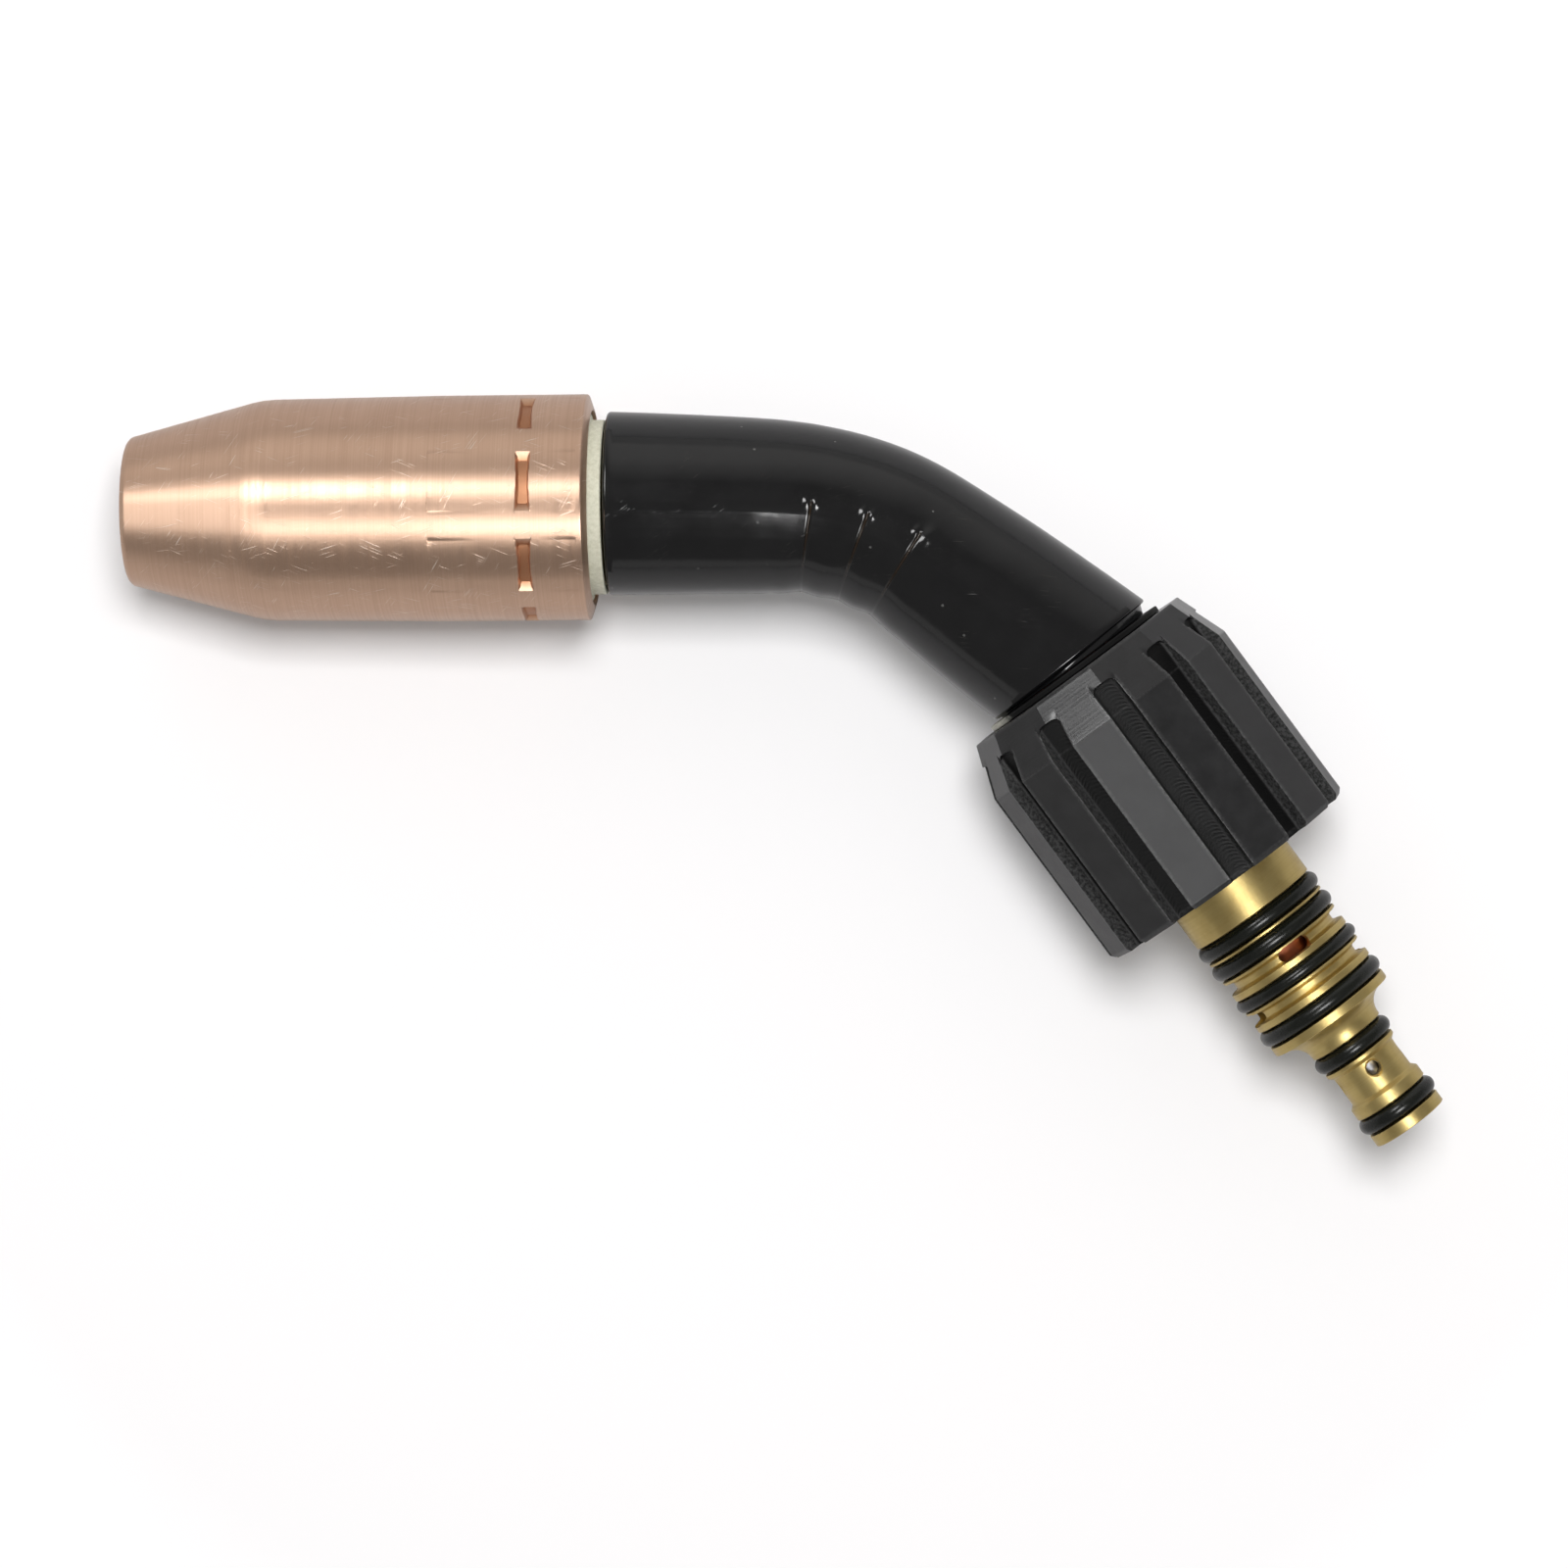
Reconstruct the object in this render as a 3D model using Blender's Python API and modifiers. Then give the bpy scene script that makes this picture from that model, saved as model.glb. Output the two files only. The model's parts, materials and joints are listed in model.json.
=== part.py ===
"""Swan neck of a water-cooled MIG welding torch, with its gas nozzle and quick-change plug.

The neck lies on its side on a flat surface, +Z up.  The nozzle points along -X, the bend lies
nearly level, and the plug points away behind the union nut.  The model rests on the union nut
and on the front of the nozzle's straight part, and its origin is the bottom centre of its box.

Two axes carry nearly every piece.  Along the nozzle axis, z runs from the nozzle's mouth towards
the bend.  Along the plug axis, z runs from the union nut's front face towards the plug's end.
All sizes are in metres.
"""

from math import asin, cos, exp, pi, radians, sin, tan

import bmesh
import bpy
from mathutils import Euler, Matrix, Vector

# Clearances
TOUCH_GAP = 0.0003  # between pieces that rest on, screw into or are brazed to each other
GROOVE_GAP = 0.00015  # on each side of a ring in its groove
NUT_FLOAT = 0.0012  # how far the union nut slides back from its front stop
MERGE = 0.00001

# Gas nozzle
NOZZLE_LENGTH = 0.0600
NOZZLE_DIAMETER = 0.0290
NOZZLE_SHOULDER_DIAMETER = 0.0284
NOZZLE_CONE_LENGTH = 0.0176
NOZZLE_MOUTH_DIAMETER = 0.0192
NOZZLE_MOUTH_BORE = 0.0172
NOZZLE_MOUTH_LAND = 0.0040
NOZZLE_LIP = 0.0005
NOZZLE_WALL = 0.0021
NOZZLE_INNER_CONE_LENGTH = 0.0160
NOZZLE_REAR_BEVEL = 0.0006
NOZZLE_REAR_BEVEL_WIDTH = 0.0018

# Pressed pockets that fix the nozzle's shell to its insulator
POCKET_COUNT = 8
POCKET_ANGLE = radians(31.0)
POCKET_TURN = radians(-13.0)
POCKET_FROM_REAR = 0.0080
POCKET_WIDTH = 0.0016
POCKET_END_WIDTH = 0.0021
POCKET_DEPTH = 0.0008
POCKET_STEPS = 6

# Nozzle insulator and threadless brass insert with its grip ring
INSULATOR_WALL = 0.0009
INSULATOR_LENGTH = 0.0193
INSULATOR_COLLAR_DIAMETER = 0.0224
INSULATOR_COLLAR_SEAT = 0.0007
INSERT_WALL = 0.0014
INSERT_LENGTH = 0.0144
GRIP_RING_WIDTH = 0.0013
GRIP_RING_THICKNESS = 0.0007
GRIP_RING_GAP = radians(14.0)
GRIP_RING_FROM_REAR = 0.0075
GRIP_RING_PROUD = 0.0002

# Neck head, the water-cooled seat of the nozzle
HEAD_SEAT_LENGTH = 0.0155
HEAD_SEAT_DIAMETER = 0.0180
HEAD_NOSE_LENGTH = 0.0062
HEAD_NOSE_DIAMETER = 0.0136
HEAD_COLLAR_DIAMETER = 0.0200
HEAD_COLLAR_LENGTH = 0.0026
HEAD_SPIGOT_LENGTH = 0.0121
HEAD_JACKET_SOCKET = 0.0060
HEAD_CHAMBER_LENGTH = 0.0180
HEAD_CONDUIT_SEAT = 0.0040
HEAD_TURNING_SPACE = 0.0020

# Tip holder, contact tip and spatter guard
HOLDER_DIAMETER = 0.0110
HOLDER_LENGTH = 0.0117
HOLDER_SHANK_DIAMETER = 0.0084
HOLDER_SHANK_LENGTH = 0.0040
HOLDER_CHAMFER = 0.0008
GAS_HOLE_COUNT = 8
GAS_HOLE_DIAMETER = 0.0016
GAS_HOLE_FROM_FRONT = 0.0085
GAS_HOLE_TURN = radians(7.5)
TIP_DIAMETER = 0.0080
TIP_FRONT_DIAMETER = 0.0062
TIP_TAPER_LENGTH = 0.0060
TIP_RECESS = 0.0050
TIP_SHANK_DIAMETER = 0.0058
TIP_SHANK_LENGTH = 0.0058
TIP_BORE = 0.0014
GUARD_WALL = 0.0015
GUARD_LENGTH = 0.0122

# Neck tubes, one inside the other, and the sleeve over them
BEND_ANGLE = radians(54.0)
BEND_RADIUS = 0.0500
NECK_LEAD = 0.0187  # straight run between the cover's front end and the bend
NECK_RUNOUT = 0.0012  # straight run between the bend and the union nut
JACKET_DIAMETER = 0.0130
JACKET_WALL = 0.00075
DIVIDER_DIAMETER = 0.0100
DIVIDER_WALL = 0.0005
CONDUIT_DIAMETER = 0.0064
CONDUIT_WALL = 0.0007
LINER_DIAMETER = 0.0042
LINER_WALL = 0.0009
LINER_BORE_CLEARANCE = 0.0003
COVER_STANDOFF = 0.0019
COVER_WALL = 0.0024
COVER_BEND_RADIUS = 0.0330
COVER_LAG = radians(18.0)  # how much less the stiff sleeve bends than the tubes in it
COVER_END_GAP = 0.00155
COVER_END_TILT = radians(2.5)
COVER_SQUEEZE = 0.065
COVER_SQUEEZE_SPREAD = 0.0140

# Union nut
NUT_SIDES = 12
NUT_FLATS = 0.0360
NUT_FRONT_FLATS = 0.0310
NUT_REAR_FLATS = 0.0350
NUT_LENGTH = 0.0325
NUT_CONE_LENGTH = 0.0070
NUT_REAR_BEVEL = 0.0006
NUT_TURN = radians(5.5)
NUT_WEB = 0.0085
NUT_SOCKET_DIAMETER = 0.0292
FLUTE_WIDTH = 0.0035
FLUTE_FLOOR_DIAMETER = 0.0324
FLUTE_START = 0.0028
INSERT_RING_WALL = 0.0010
INSERT_RING_START = 0.0150
INSERT_RING_LENGTH = 0.0165
INSERT_RING_CHAMFER = 0.0005
SNAP_WIRE = 0.0012
SNAP_RING_START = 0.0033
SNAP_RING_GAP = radians(20.0)
WASHER_DIAMETER = 0.0262
WASHER_THICKNESS = 0.0005

# Coupling plug
HUB_DIAMETER = 0.0190
HUB_SNAP_GROOVE_DIAMETER = 0.0168
HUB_JACKET_SOCKET = 0.0080
COLLAR_DIAMETER = 0.0250
COLLAR_LENGTH = 0.0030
PLUG_DIAMETER = 0.0174
PLUG_LAND = 0.0054  # plain length that shows behind the nut
PLUG_SEAL_DIAMETER = 0.0183
PLUG_RIM = 0.00095
RING_SECTION = 0.0022
SLIM_RING_SECTION = 0.0017
RING_RIB = 0.0004
WATER_GROOVE_DIAMETER = 0.0151
WATER_GROOVE_WIDTH = 0.0016
GROOVE_FLARE = 0.0004
FLANGE_LENGTH = 0.0012
TAPER_LENGTH = 0.0027
NIPPLE_DIAMETER = 0.0103
NIPPLE_SEAL_DIAMETER = 0.0113
NIPPLE_LAND = 0.0006
NIPPLE_RIM = 0.0010  # between the nipple's front ring and its neck
NIPPLE_NECK_DIAMETER = 0.0091
NIPPLE_NECK_LENGTH = 0.0046
NIPPLE_FLARE = 0.0006
NIPPLE_SHOULDER = 0.0015
NIPPLE_END_LENGTH = 0.0016
PORT_LENGTH = 0.0046
PORT_WIDTH = 0.0019
PORT_TURN = radians(10.0)
GAS_PORT_COUNT = 4
GAS_PORT_DIAMETER = 0.0019
GAS_PORT_SINK_DIAMETER = 0.0025
GAS_PORT_TURN = radians(6.0)
GAS_PORT_FROM_NECK = 0.0013
DIVIDER_SEAT = 0.0010
WEB_BEHIND_PORT = 0.0010

# Facets of the round pieces
LARGE_STEPS = 36
MEDIUM_STEPS = 24
SMALL_STEPS = 16
TUBE_SIDES = 12
COVER_SIDES = 24
BEND_STEPS = 6
COVER_STEPS = 15
O_RING_SIDES = 8
TAPER_STEPS = 4
SNAP_WIRE_SIDES = 4
LEVEL_ROUNDS = 5

# Stations along the nozzle axis, from the nozzle's mouth
NOZZLE_REAR = NOZZLE_LENGTH
COVER_FRONT = NOZZLE_REAR + COVER_STANDOFF
HEAD_COLLAR_REAR = COVER_FRONT - TOUCH_GAP
HEAD_COLLAR_FRONT = HEAD_COLLAR_REAR - HEAD_COLLAR_LENGTH
HEAD_SEAT_FRONT = HEAD_COLLAR_FRONT - HEAD_SEAT_LENGTH
HEAD_FRONT = HEAD_SEAT_FRONT - HEAD_NOSE_LENGTH
HEAD_REAR = HEAD_COLLAR_REAR + HEAD_SPIGOT_LENGTH
CHAMBER_REAR = HEAD_REAR - HEAD_JACKET_SOCKET
CHAMBER_FRONT = CHAMBER_REAR - HEAD_CHAMBER_LENGTH
CONDUIT_FRONT = CHAMBER_FRONT - HEAD_CONDUIT_SEAT
SHANK_SOCKET_REAR = HEAD_FRONT + HOLDER_SHANK_LENGTH + TOUCH_GAP
HOLDER_REAR = HEAD_FRONT - TOUCH_GAP
HOLDER_FRONT = HOLDER_REAR - HOLDER_LENGTH
TIP_SOCKET_REAR = HOLDER_FRONT + TIP_SHANK_LENGTH + TOUCH_GAP
BEND_START = COVER_FRONT + NECK_LEAD

# Stations along the plug axis, from the union nut's front face
COLLAR_FRONT = NUT_WEB + NUT_FLOAT + TOUCH_GAP
COLLAR_REAR = COLLAR_FRONT + COLLAR_LENGTH
NUT_REAR = NUT_LENGTH
RING_GROOVE = RING_SECTION + 2 * GROOVE_GAP
SLIM_RING_GROOVE = SLIM_RING_SECTION + 2 * GROOVE_GAP
RING_1 = NUT_REAR + PLUG_LAND
RING_2 = RING_1 + RING_GROOVE + RING_RIB
WATER_GROOVE_1 = RING_2 + RING_GROOVE + RING_RIB
RING_3 = WATER_GROOVE_1 + WATER_GROOVE_WIDTH + PLUG_RIM
WATER_GROOVE_2 = RING_3 + SLIM_RING_GROOVE + RING_RIB
RING_4 = WATER_GROOVE_2 + WATER_GROOVE_WIDTH + PLUG_RIM
FLANGE_START = RING_4 + RING_GROOVE
TAPER_START = FLANGE_START + FLANGE_LENGTH
NIPPLE_START = TAPER_START + TAPER_LENGTH
RING_5 = NIPPLE_START + NIPPLE_LAND
NECK_START = RING_5 + RING_GROOVE + NIPPLE_RIM
SHOULDER_START = NECK_START + NIPPLE_NECK_LENGTH
RING_6 = SHOULDER_START + NIPPLE_SHOULDER
PLUG_END = RING_6 + RING_GROOVE + NIPPLE_END_LENGTH
DIVIDER_END = WATER_GROOVE_1 + WATER_GROOVE_WIDTH + WEB_BEHIND_PORT + DIVIDER_SEAT
CHAMBER_2_END = WATER_GROOVE_2 + WATER_GROOVE_WIDTH + WEB_BEHIND_PORT
CONDUIT_END = NIPPLE_START - NIPPLE_LAND

# Radii that seat one piece in another
COVER_BORE_RADIUS = HEAD_SEAT_DIAMETER / 2 + TOUCH_GAP
INSERT_BORE_RADIUS = HEAD_SEAT_DIAMETER / 2 + TOUCH_GAP + GRIP_RING_PROUD
INSERT_OUTER_RADIUS = INSERT_BORE_RADIUS + INSERT_WALL
INSULATOR_BORE_RADIUS = INSERT_OUTER_RADIUS + TOUCH_GAP
INSULATOR_OUTER_RADIUS = INSULATOR_BORE_RADIUS + INSULATOR_WALL
CHAMBER_RADIUS = JACKET_DIAMETER / 2 - JACKET_WALL
LINER_BORE_RADIUS = LINER_DIAMETER / 2 + LINER_BORE_CLEARANCE
NUT_BORE_RADIUS = HUB_DIAMETER / 2 + TOUCH_GAP
SNAP_RING_RADIUS = NUT_BORE_RADIUS - SNAP_WIRE / 3
NUT_GROOVE_RADIUS = SNAP_RING_RADIUS + SNAP_WIRE / 2 + TOUCH_GAP

FINISHES = {
    "copper": ((0.56, 0.30, 0.19, 1.0), 1.0, 0.32),
    "copper_tube": ((0.46, 0.20, 0.12, 1.0), 1.0, 0.40),
    "brass": ((0.60, 0.43, 0.16, 1.0), 1.0, 0.28),
    "spring_steel": ((0.42, 0.42, 0.43, 1.0), 1.0, 0.35),
    "zinc_plate": ((0.62, 0.62, 0.56, 1.0), 1.0, 0.38),
    "insulator": ((0.60, 0.60, 0.47, 1.0), 0.0, 0.60),
    "ceramic": ((0.78, 0.75, 0.68, 1.0), 0.0, 0.70),
    "sleeve": ((0.012, 0.012, 0.013, 1.0), 0.0, 0.28),
    "nut_plastic": ((0.055, 0.055, 0.056, 1.0), 0.0, 0.52),
    "seal_rubber": ((0.014, 0.015, 0.013, 1.0), 0.0, 0.30),
    "liner": ((0.30, 0.30, 0.32, 1.0), 1.0, 0.45),
}


def clear_scene():
    for obj in list(bpy.data.objects):
        bpy.data.objects.remove(obj, do_unlink=True)


def new_collection(name):
    collection = bpy.data.collections.new(name)
    bpy.context.scene.collection.children.link(collection)
    return collection


def finish(name):
    """The named material, made the first time that it is asked for."""
    material = bpy.data.materials.get(name)
    if material is None:
        color, metallic, roughness = FINISHES[name]
        material = bpy.data.materials.new(name)
        material.use_nodes = True
        shader = material.node_tree.nodes["Principled BSDF"]
        shader.inputs["Base Color"].default_value = color
        shader.inputs["Metallic"].default_value = metallic
        shader.inputs["Roughness"].default_value = roughness
        material.diffuse_color = color
    return material


def add_empty(name, collection, parent=None, matrix=None):
    empty = bpy.data.objects.new(name, None)
    collection.objects.link(empty)
    empty.parent = parent
    empty.empty_display_size = 0.01
    empty.matrix_local = matrix or Matrix()
    return empty


def add_mesh_object(name, mesh, axis):
    """An object in its axis's collection, placed on that axis."""
    obj = bpy.data.objects.new(name, mesh)
    axis.users_collection[0].objects.link(obj)
    obj.parent = axis
    return obj


def ring_outline(outer, inner):
    """Closed section of a turned ring. Both outlines are (z, radius) pairs in order along z."""
    return [(r, 0.0, z) for z, r in reversed(outer)] + [(r, 0.0, z) for z, r in inner]


def solid_outline(outer):
    """Open section of a turned solid, which starts and ends on the axis."""
    top = outer[-1][0]
    bottom = outer[0][0]
    return [(0.0, 0.0, top)] + [(r, 0.0, z) for z, r in reversed(outer)] + [(0.0, 0.0, bottom)]


def turned(name, outline, axis, steps, closed=True):
    """A section turned about its axis with a Screw modifier."""
    count = len(outline)
    edges = [(i, (i + 1) % count) for i in range(count if closed else count - 1)]
    mesh = bpy.data.meshes.new(name)
    mesh.from_pydata(outline, edges, [])
    obj = add_mesh_object(name, mesh, axis)
    screw = obj.modifiers.new("turn", "SCREW")
    screw.axis = "Z"
    screw.angle = 2 * pi
    screw.steps = steps
    screw.render_steps = steps
    screw.use_merge_vertices = True
    screw.merge_threshold = MERGE
    return obj


def as_cutter(obj):
    obj.hide_render = True
    obj.display_type = "WIRE"
    return obj


def cut(obj, cutters):
    """Take the cutters out of the object, one Boolean each."""
    for cutter in cutters:
        boolean = obj.modifiers.new("cut", "BOOLEAN")
        boolean.operation = "DIFFERENCE"
        boolean.solver = "EXACT"
        boolean.object = as_cutter(cutter)


def bake(obj, cutters=()):
    """Apply an object's modifiers, remove the cutters and shade the round faces smooth."""
    cut(obj, cutters)
    depsgraph = bpy.context.evaluated_depsgraph_get()
    shape = bpy.data.meshes.new_from_object(obj.evaluated_get(depsgraph))
    obj.modifiers.clear()
    obj.data = shape
    shape.name = obj.name
    shape.shade_smooth()
    shape.set_sharp_from_angle(angle=radians(32.0))
    for cutter in cutters:
        bpy.data.objects.remove(cutter, do_unlink=True)
    return obj


def paint(obj, finish_name):
    obj.data.materials.clear()
    obj.data.materials.append(finish(finish_name))
    return obj


def make_ring(name, outer, inner, axis, finish_name, steps, cutters=()):
    ring = turned(name, ring_outline(outer, inner), axis, steps)
    return paint(bake(ring, cutters), finish_name)


def sleeve_outline(front, rear, radius):
    return [(front, radius), (rear, radius)]


def wire_outline(radius, z, diameter, sides):
    """Section of a ring of wire or cord with a number of sides, one of them outwards."""
    turns = [2 * pi * (k + 0.5) / sides for k in range(sides)]
    half = diameter / 2 / cos(pi / sides)
    return [(radius + half * cos(t), 0.0, z - half * sin(t)) for t in turns]


def mesh_cutter(name, form, axis):
    mesh = bpy.data.meshes.new(name)
    form.to_mesh(mesh)
    form.free()
    return add_mesh_object(name, mesh, axis)


def radial_matrix(z, angle):
    """Turns local Z outwards from the axis, at a height and an angle from the top of the piece."""
    lean = Matrix.Rotation(pi / 2, 4, "Y")
    return Matrix.Translation((0, 0, z)) @ Matrix.Rotation(pi + angle, 4, "Z") @ lean


def radial_hole(name, axis, z, angle, outline, steps=16):
    """A turned cutter whose axis runs outwards from the piece's own axis."""
    hole = turned(name, solid_outline(outline), axis, steps, closed=False)
    hole.matrix_local = radial_matrix(z, angle)
    return hole


def arc_slot(name, axis, z, angle, length, width, reach):
    """A round-ended cutter, long around the piece, that runs outwards from the axis."""
    form = bmesh.new()
    bmesh.ops.create_cone(
        form, cap_ends=True, segments=12, radius1=width / 2, radius2=width / 2, depth=reach[1] - reach[0]
    )
    for vert in form.verts:
        vert.co.y += (length - width) / 2 * (1 if vert.co.y > 0 else -1)
        vert.co.z += (reach[0] + reach[1]) / 2
    slot = mesh_cutter(name, form, axis)
    slot.matrix_local = radial_matrix(z, angle)
    return slot


def wedge(name, axis, z, angle, spread, radius, height):
    """A cutter that opens a ring over a spread of angle."""
    form = bmesh.new()
    bmesh.ops.create_cube(form, size=1.0)
    width = 2 * radius * tan(spread / 2)
    bmesh.ops.scale(form, vec=(radius, width, height), verts=form.verts)
    bmesh.ops.translate(form, vec=(radius, 0, 0), verts=form.verts)
    block = mesh_cutter(name, form, axis)
    block.matrix_local = Matrix.Translation((0, 0, z)) @ Matrix.Rotation(pi + angle, 4, "Z")
    return block


# Nozzle and the pieces that come off with it


def pocket_cutter(axis, angle):
    """A block around part of the nozzle's circle, narrowest in its middle."""
    floor = NOZZLE_DIAMETER / 2 - POCKET_DEPTH
    outside = NOZZLE_DIAMETER / 2 + NOZZLE_WALL
    centre = NOZZLE_REAR - POCKET_FROM_REAR
    form = bmesh.new()
    rows = []
    for step in range(POCKET_STEPS + 1):
        share = 2 * step / POCKET_STEPS - 1
        turn = pi + angle + share * POCKET_ANGLE / 2
        half = (POCKET_WIDTH + (POCKET_END_WIDTH - POCKET_WIDTH) * share**2) / 2
        corners = [(floor, -half), (floor, half), (outside, half), (outside, -half)]
        rows.append([form.verts.new((r * cos(turn), r * sin(turn), centre + z)) for r, z in corners])
    for before, after in zip(rows, rows[1:]):
        for k in range(4):
            form.faces.new((before[k], before[(k + 1) % 4], after[(k + 1) % 4], after[k]))
    form.faces.new(rows[0])
    form.faces.new(rows[-1])
    bmesh.ops.recalc_face_normals(form, faces=form.faces)
    return mesh_cutter("pocket_cutter", form, axis)


def make_gas_nozzle(axis):
    mouth = NOZZLE_MOUTH_DIAMETER / 2
    outside = NOZZLE_DIAMETER / 2
    bore = INSULATOR_OUTER_RADIUS + TOUCH_GAP
    outer = [
        (0.0, mouth - NOZZLE_LIP),
        (NOZZLE_LIP, mouth),
        (NOZZLE_CONE_LENGTH, NOZZLE_SHOULDER_DIAMETER / 2),
        (NOZZLE_REAR - INSULATOR_LENGTH, outside),
        (NOZZLE_REAR - NOZZLE_REAR_BEVEL, outside),
        (NOZZLE_REAR, outside - NOZZLE_REAR_BEVEL_WIDTH),
    ]
    inner = [
        (0.0, NOZZLE_MOUTH_BORE / 2),
        (NOZZLE_MOUTH_LAND, NOZZLE_MOUTH_BORE / 2),
        (NOZZLE_MOUTH_LAND + NOZZLE_INNER_CONE_LENGTH, bore),
        (NOZZLE_REAR, bore),
    ]
    pitch = 2 * pi / POCKET_COUNT
    pockets = [pocket_cutter(axis, POCKET_TURN + k * pitch) for k in range(POCKET_COUNT)]
    return make_ring("gas_nozzle", outer, inner, axis, "copper", LARGE_STEPS, pockets)


def make_nozzle_insulator(axis):
    collar_step = HEAD_COLLAR_FRONT + INSULATOR_COLLAR_SEAT
    front = HEAD_COLLAR_FRONT - INSULATOR_LENGTH + TOUCH_GAP
    collar = INSULATOR_COLLAR_DIAMETER / 2
    collar_bore = HEAD_COLLAR_DIAMETER / 2 + TOUCH_GAP
    outer = [
        (front, INSULATOR_OUTER_RADIUS),
        (collar_step, INSULATOR_OUTER_RADIUS),
        (collar_step, collar),
        (HEAD_COLLAR_REAR, collar),
    ]
    inner = [
        (front, INSULATOR_BORE_RADIUS),
        (HEAD_COLLAR_FRONT, INSULATOR_BORE_RADIUS),
        (HEAD_COLLAR_FRONT, collar_bore),
        (HEAD_COLLAR_REAR, collar_bore),
    ]
    return make_ring("nozzle_insulator", outer, inner, axis, "insulator", LARGE_STEPS)


def grip_ring_span():
    rear = HEAD_COLLAR_FRONT - TOUCH_GAP - GRIP_RING_FROM_REAR
    return rear - GRIP_RING_WIDTH, rear


def make_nozzle_insert(axis):
    rear = HEAD_COLLAR_FRONT - TOUCH_GAP
    front = rear - INSERT_LENGTH
    ring_front, ring_rear = grip_ring_span()
    groove = HEAD_SEAT_DIAMETER / 2 + 2 * TOUCH_GAP + GRIP_RING_THICKNESS
    inner = [
        (front, INSERT_BORE_RADIUS),
        (ring_front - GROOVE_GAP, INSERT_BORE_RADIUS),
        (ring_front - GROOVE_GAP, groove),
        (ring_rear + GROOVE_GAP, groove),
        (ring_rear + GROOVE_GAP, INSERT_BORE_RADIUS),
        (rear, INSERT_BORE_RADIUS),
    ]
    outer = sleeve_outline(front, rear, INSERT_OUTER_RADIUS)
    return make_ring("nozzle_insert", outer, inner, axis, "brass", LARGE_STEPS)


def make_nozzle_grip_ring(axis):
    front, rear = grip_ring_span()
    inside = HEAD_SEAT_DIAMETER / 2 + TOUCH_GAP
    outside = inside + GRIP_RING_THICKNESS
    middle = (front + rear) / 2
    opening = wedge("ring_opening", axis, middle, 0.0, GRIP_RING_GAP, outside, 3 * GRIP_RING_WIDTH)
    outer = sleeve_outline(front, rear, outside)
    inner = sleeve_outline(front, rear, inside)
    return make_ring("nozzle_grip_ring", outer, inner, axis, "spring_steel", LARGE_STEPS, [opening])


# Neck head and the pieces that screw into it


def make_neck_head(axis):
    seat = HEAD_SEAT_DIAMETER / 2
    nose = HEAD_NOSE_DIAMETER / 2
    collar = HEAD_COLLAR_DIAMETER / 2
    spigot = COVER_BORE_RADIUS - TOUCH_GAP
    shank = HOLDER_SHANK_DIAMETER / 2 + TOUCH_GAP
    conduit = CONDUIT_DIAMETER / 2 + TOUCH_GAP
    jacket = JACKET_DIAMETER / 2 + TOUCH_GAP
    outer = [
        (HEAD_FRONT, nose),
        (HEAD_SEAT_FRONT, nose),
        (HEAD_SEAT_FRONT, seat),
        (HEAD_COLLAR_FRONT, seat),
        (HEAD_COLLAR_FRONT, collar),
        (HEAD_COLLAR_REAR, collar),
        (HEAD_COLLAR_REAR, spigot),
        (HEAD_REAR, spigot),
    ]
    inner = [
        (HEAD_FRONT, shank),
        (SHANK_SOCKET_REAR, shank),
        (SHANK_SOCKET_REAR, LINER_BORE_RADIUS),
        (CONDUIT_FRONT, LINER_BORE_RADIUS),
        (CONDUIT_FRONT, conduit),
        (CHAMBER_FRONT, conduit),
        (CHAMBER_FRONT, CHAMBER_RADIUS),
        (CHAMBER_REAR, CHAMBER_RADIUS),
        (CHAMBER_REAR, jacket),
        (HEAD_REAR, jacket),
    ]
    return make_ring("neck_head", outer, inner, axis, "brass", MEDIUM_STEPS)


def make_tip_holder(axis):
    radius = HOLDER_DIAMETER / 2
    shank = HOLDER_SHANK_DIAMETER / 2
    socket = TIP_SHANK_DIAMETER / 2 + TOUCH_GAP
    outer = [
        (HOLDER_FRONT, radius - HOLDER_CHAMFER),
        (HOLDER_FRONT + HOLDER_CHAMFER, radius),
        (HOLDER_REAR, radius),
        (HOLDER_REAR, shank),
        (SHANK_SOCKET_REAR - TOUCH_GAP, shank),
    ]
    inner = [
        (HOLDER_FRONT, socket),
        (TIP_SOCKET_REAR, socket),
        (TIP_SOCKET_REAR, LINER_BORE_RADIUS),
        (SHANK_SOCKET_REAR - TOUCH_GAP, LINER_BORE_RADIUS),
    ]
    hole = GAS_HOLE_DIAMETER / 2
    reach = [(LINER_BORE_RADIUS / 2, hole), (radius + HOLDER_CHAMFER, hole)]
    z = HOLDER_FRONT + GAS_HOLE_FROM_FRONT
    pitch = 2 * pi / GAS_HOLE_COUNT
    turns = [GAS_HOLE_TURN + k * pitch for k in range(GAS_HOLE_COUNT)]
    holes = [radial_hole("gas_hole", axis, z, turn, reach, 8) for turn in turns]
    return make_ring("tip_holder", outer, inner, axis, "brass", MEDIUM_STEPS, holes)


def make_contact_tip(axis):
    radius = TIP_DIAMETER / 2
    shank = TIP_SHANK_DIAMETER / 2
    shank_front = HOLDER_FRONT - TOUCH_GAP
    rear = TIP_SOCKET_REAR - TOUCH_GAP
    outer = [
        (TIP_RECESS, TIP_FRONT_DIAMETER / 2),
        (TIP_RECESS + TIP_TAPER_LENGTH, radius),
        (shank_front, radius),
        (shank_front, shank),
        (rear, shank),
    ]
    inner = sleeve_outline(TIP_RECESS, rear, TIP_BORE / 2)
    return make_ring("contact_tip", outer, inner, axis, "copper", SMALL_STEPS)


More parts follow.
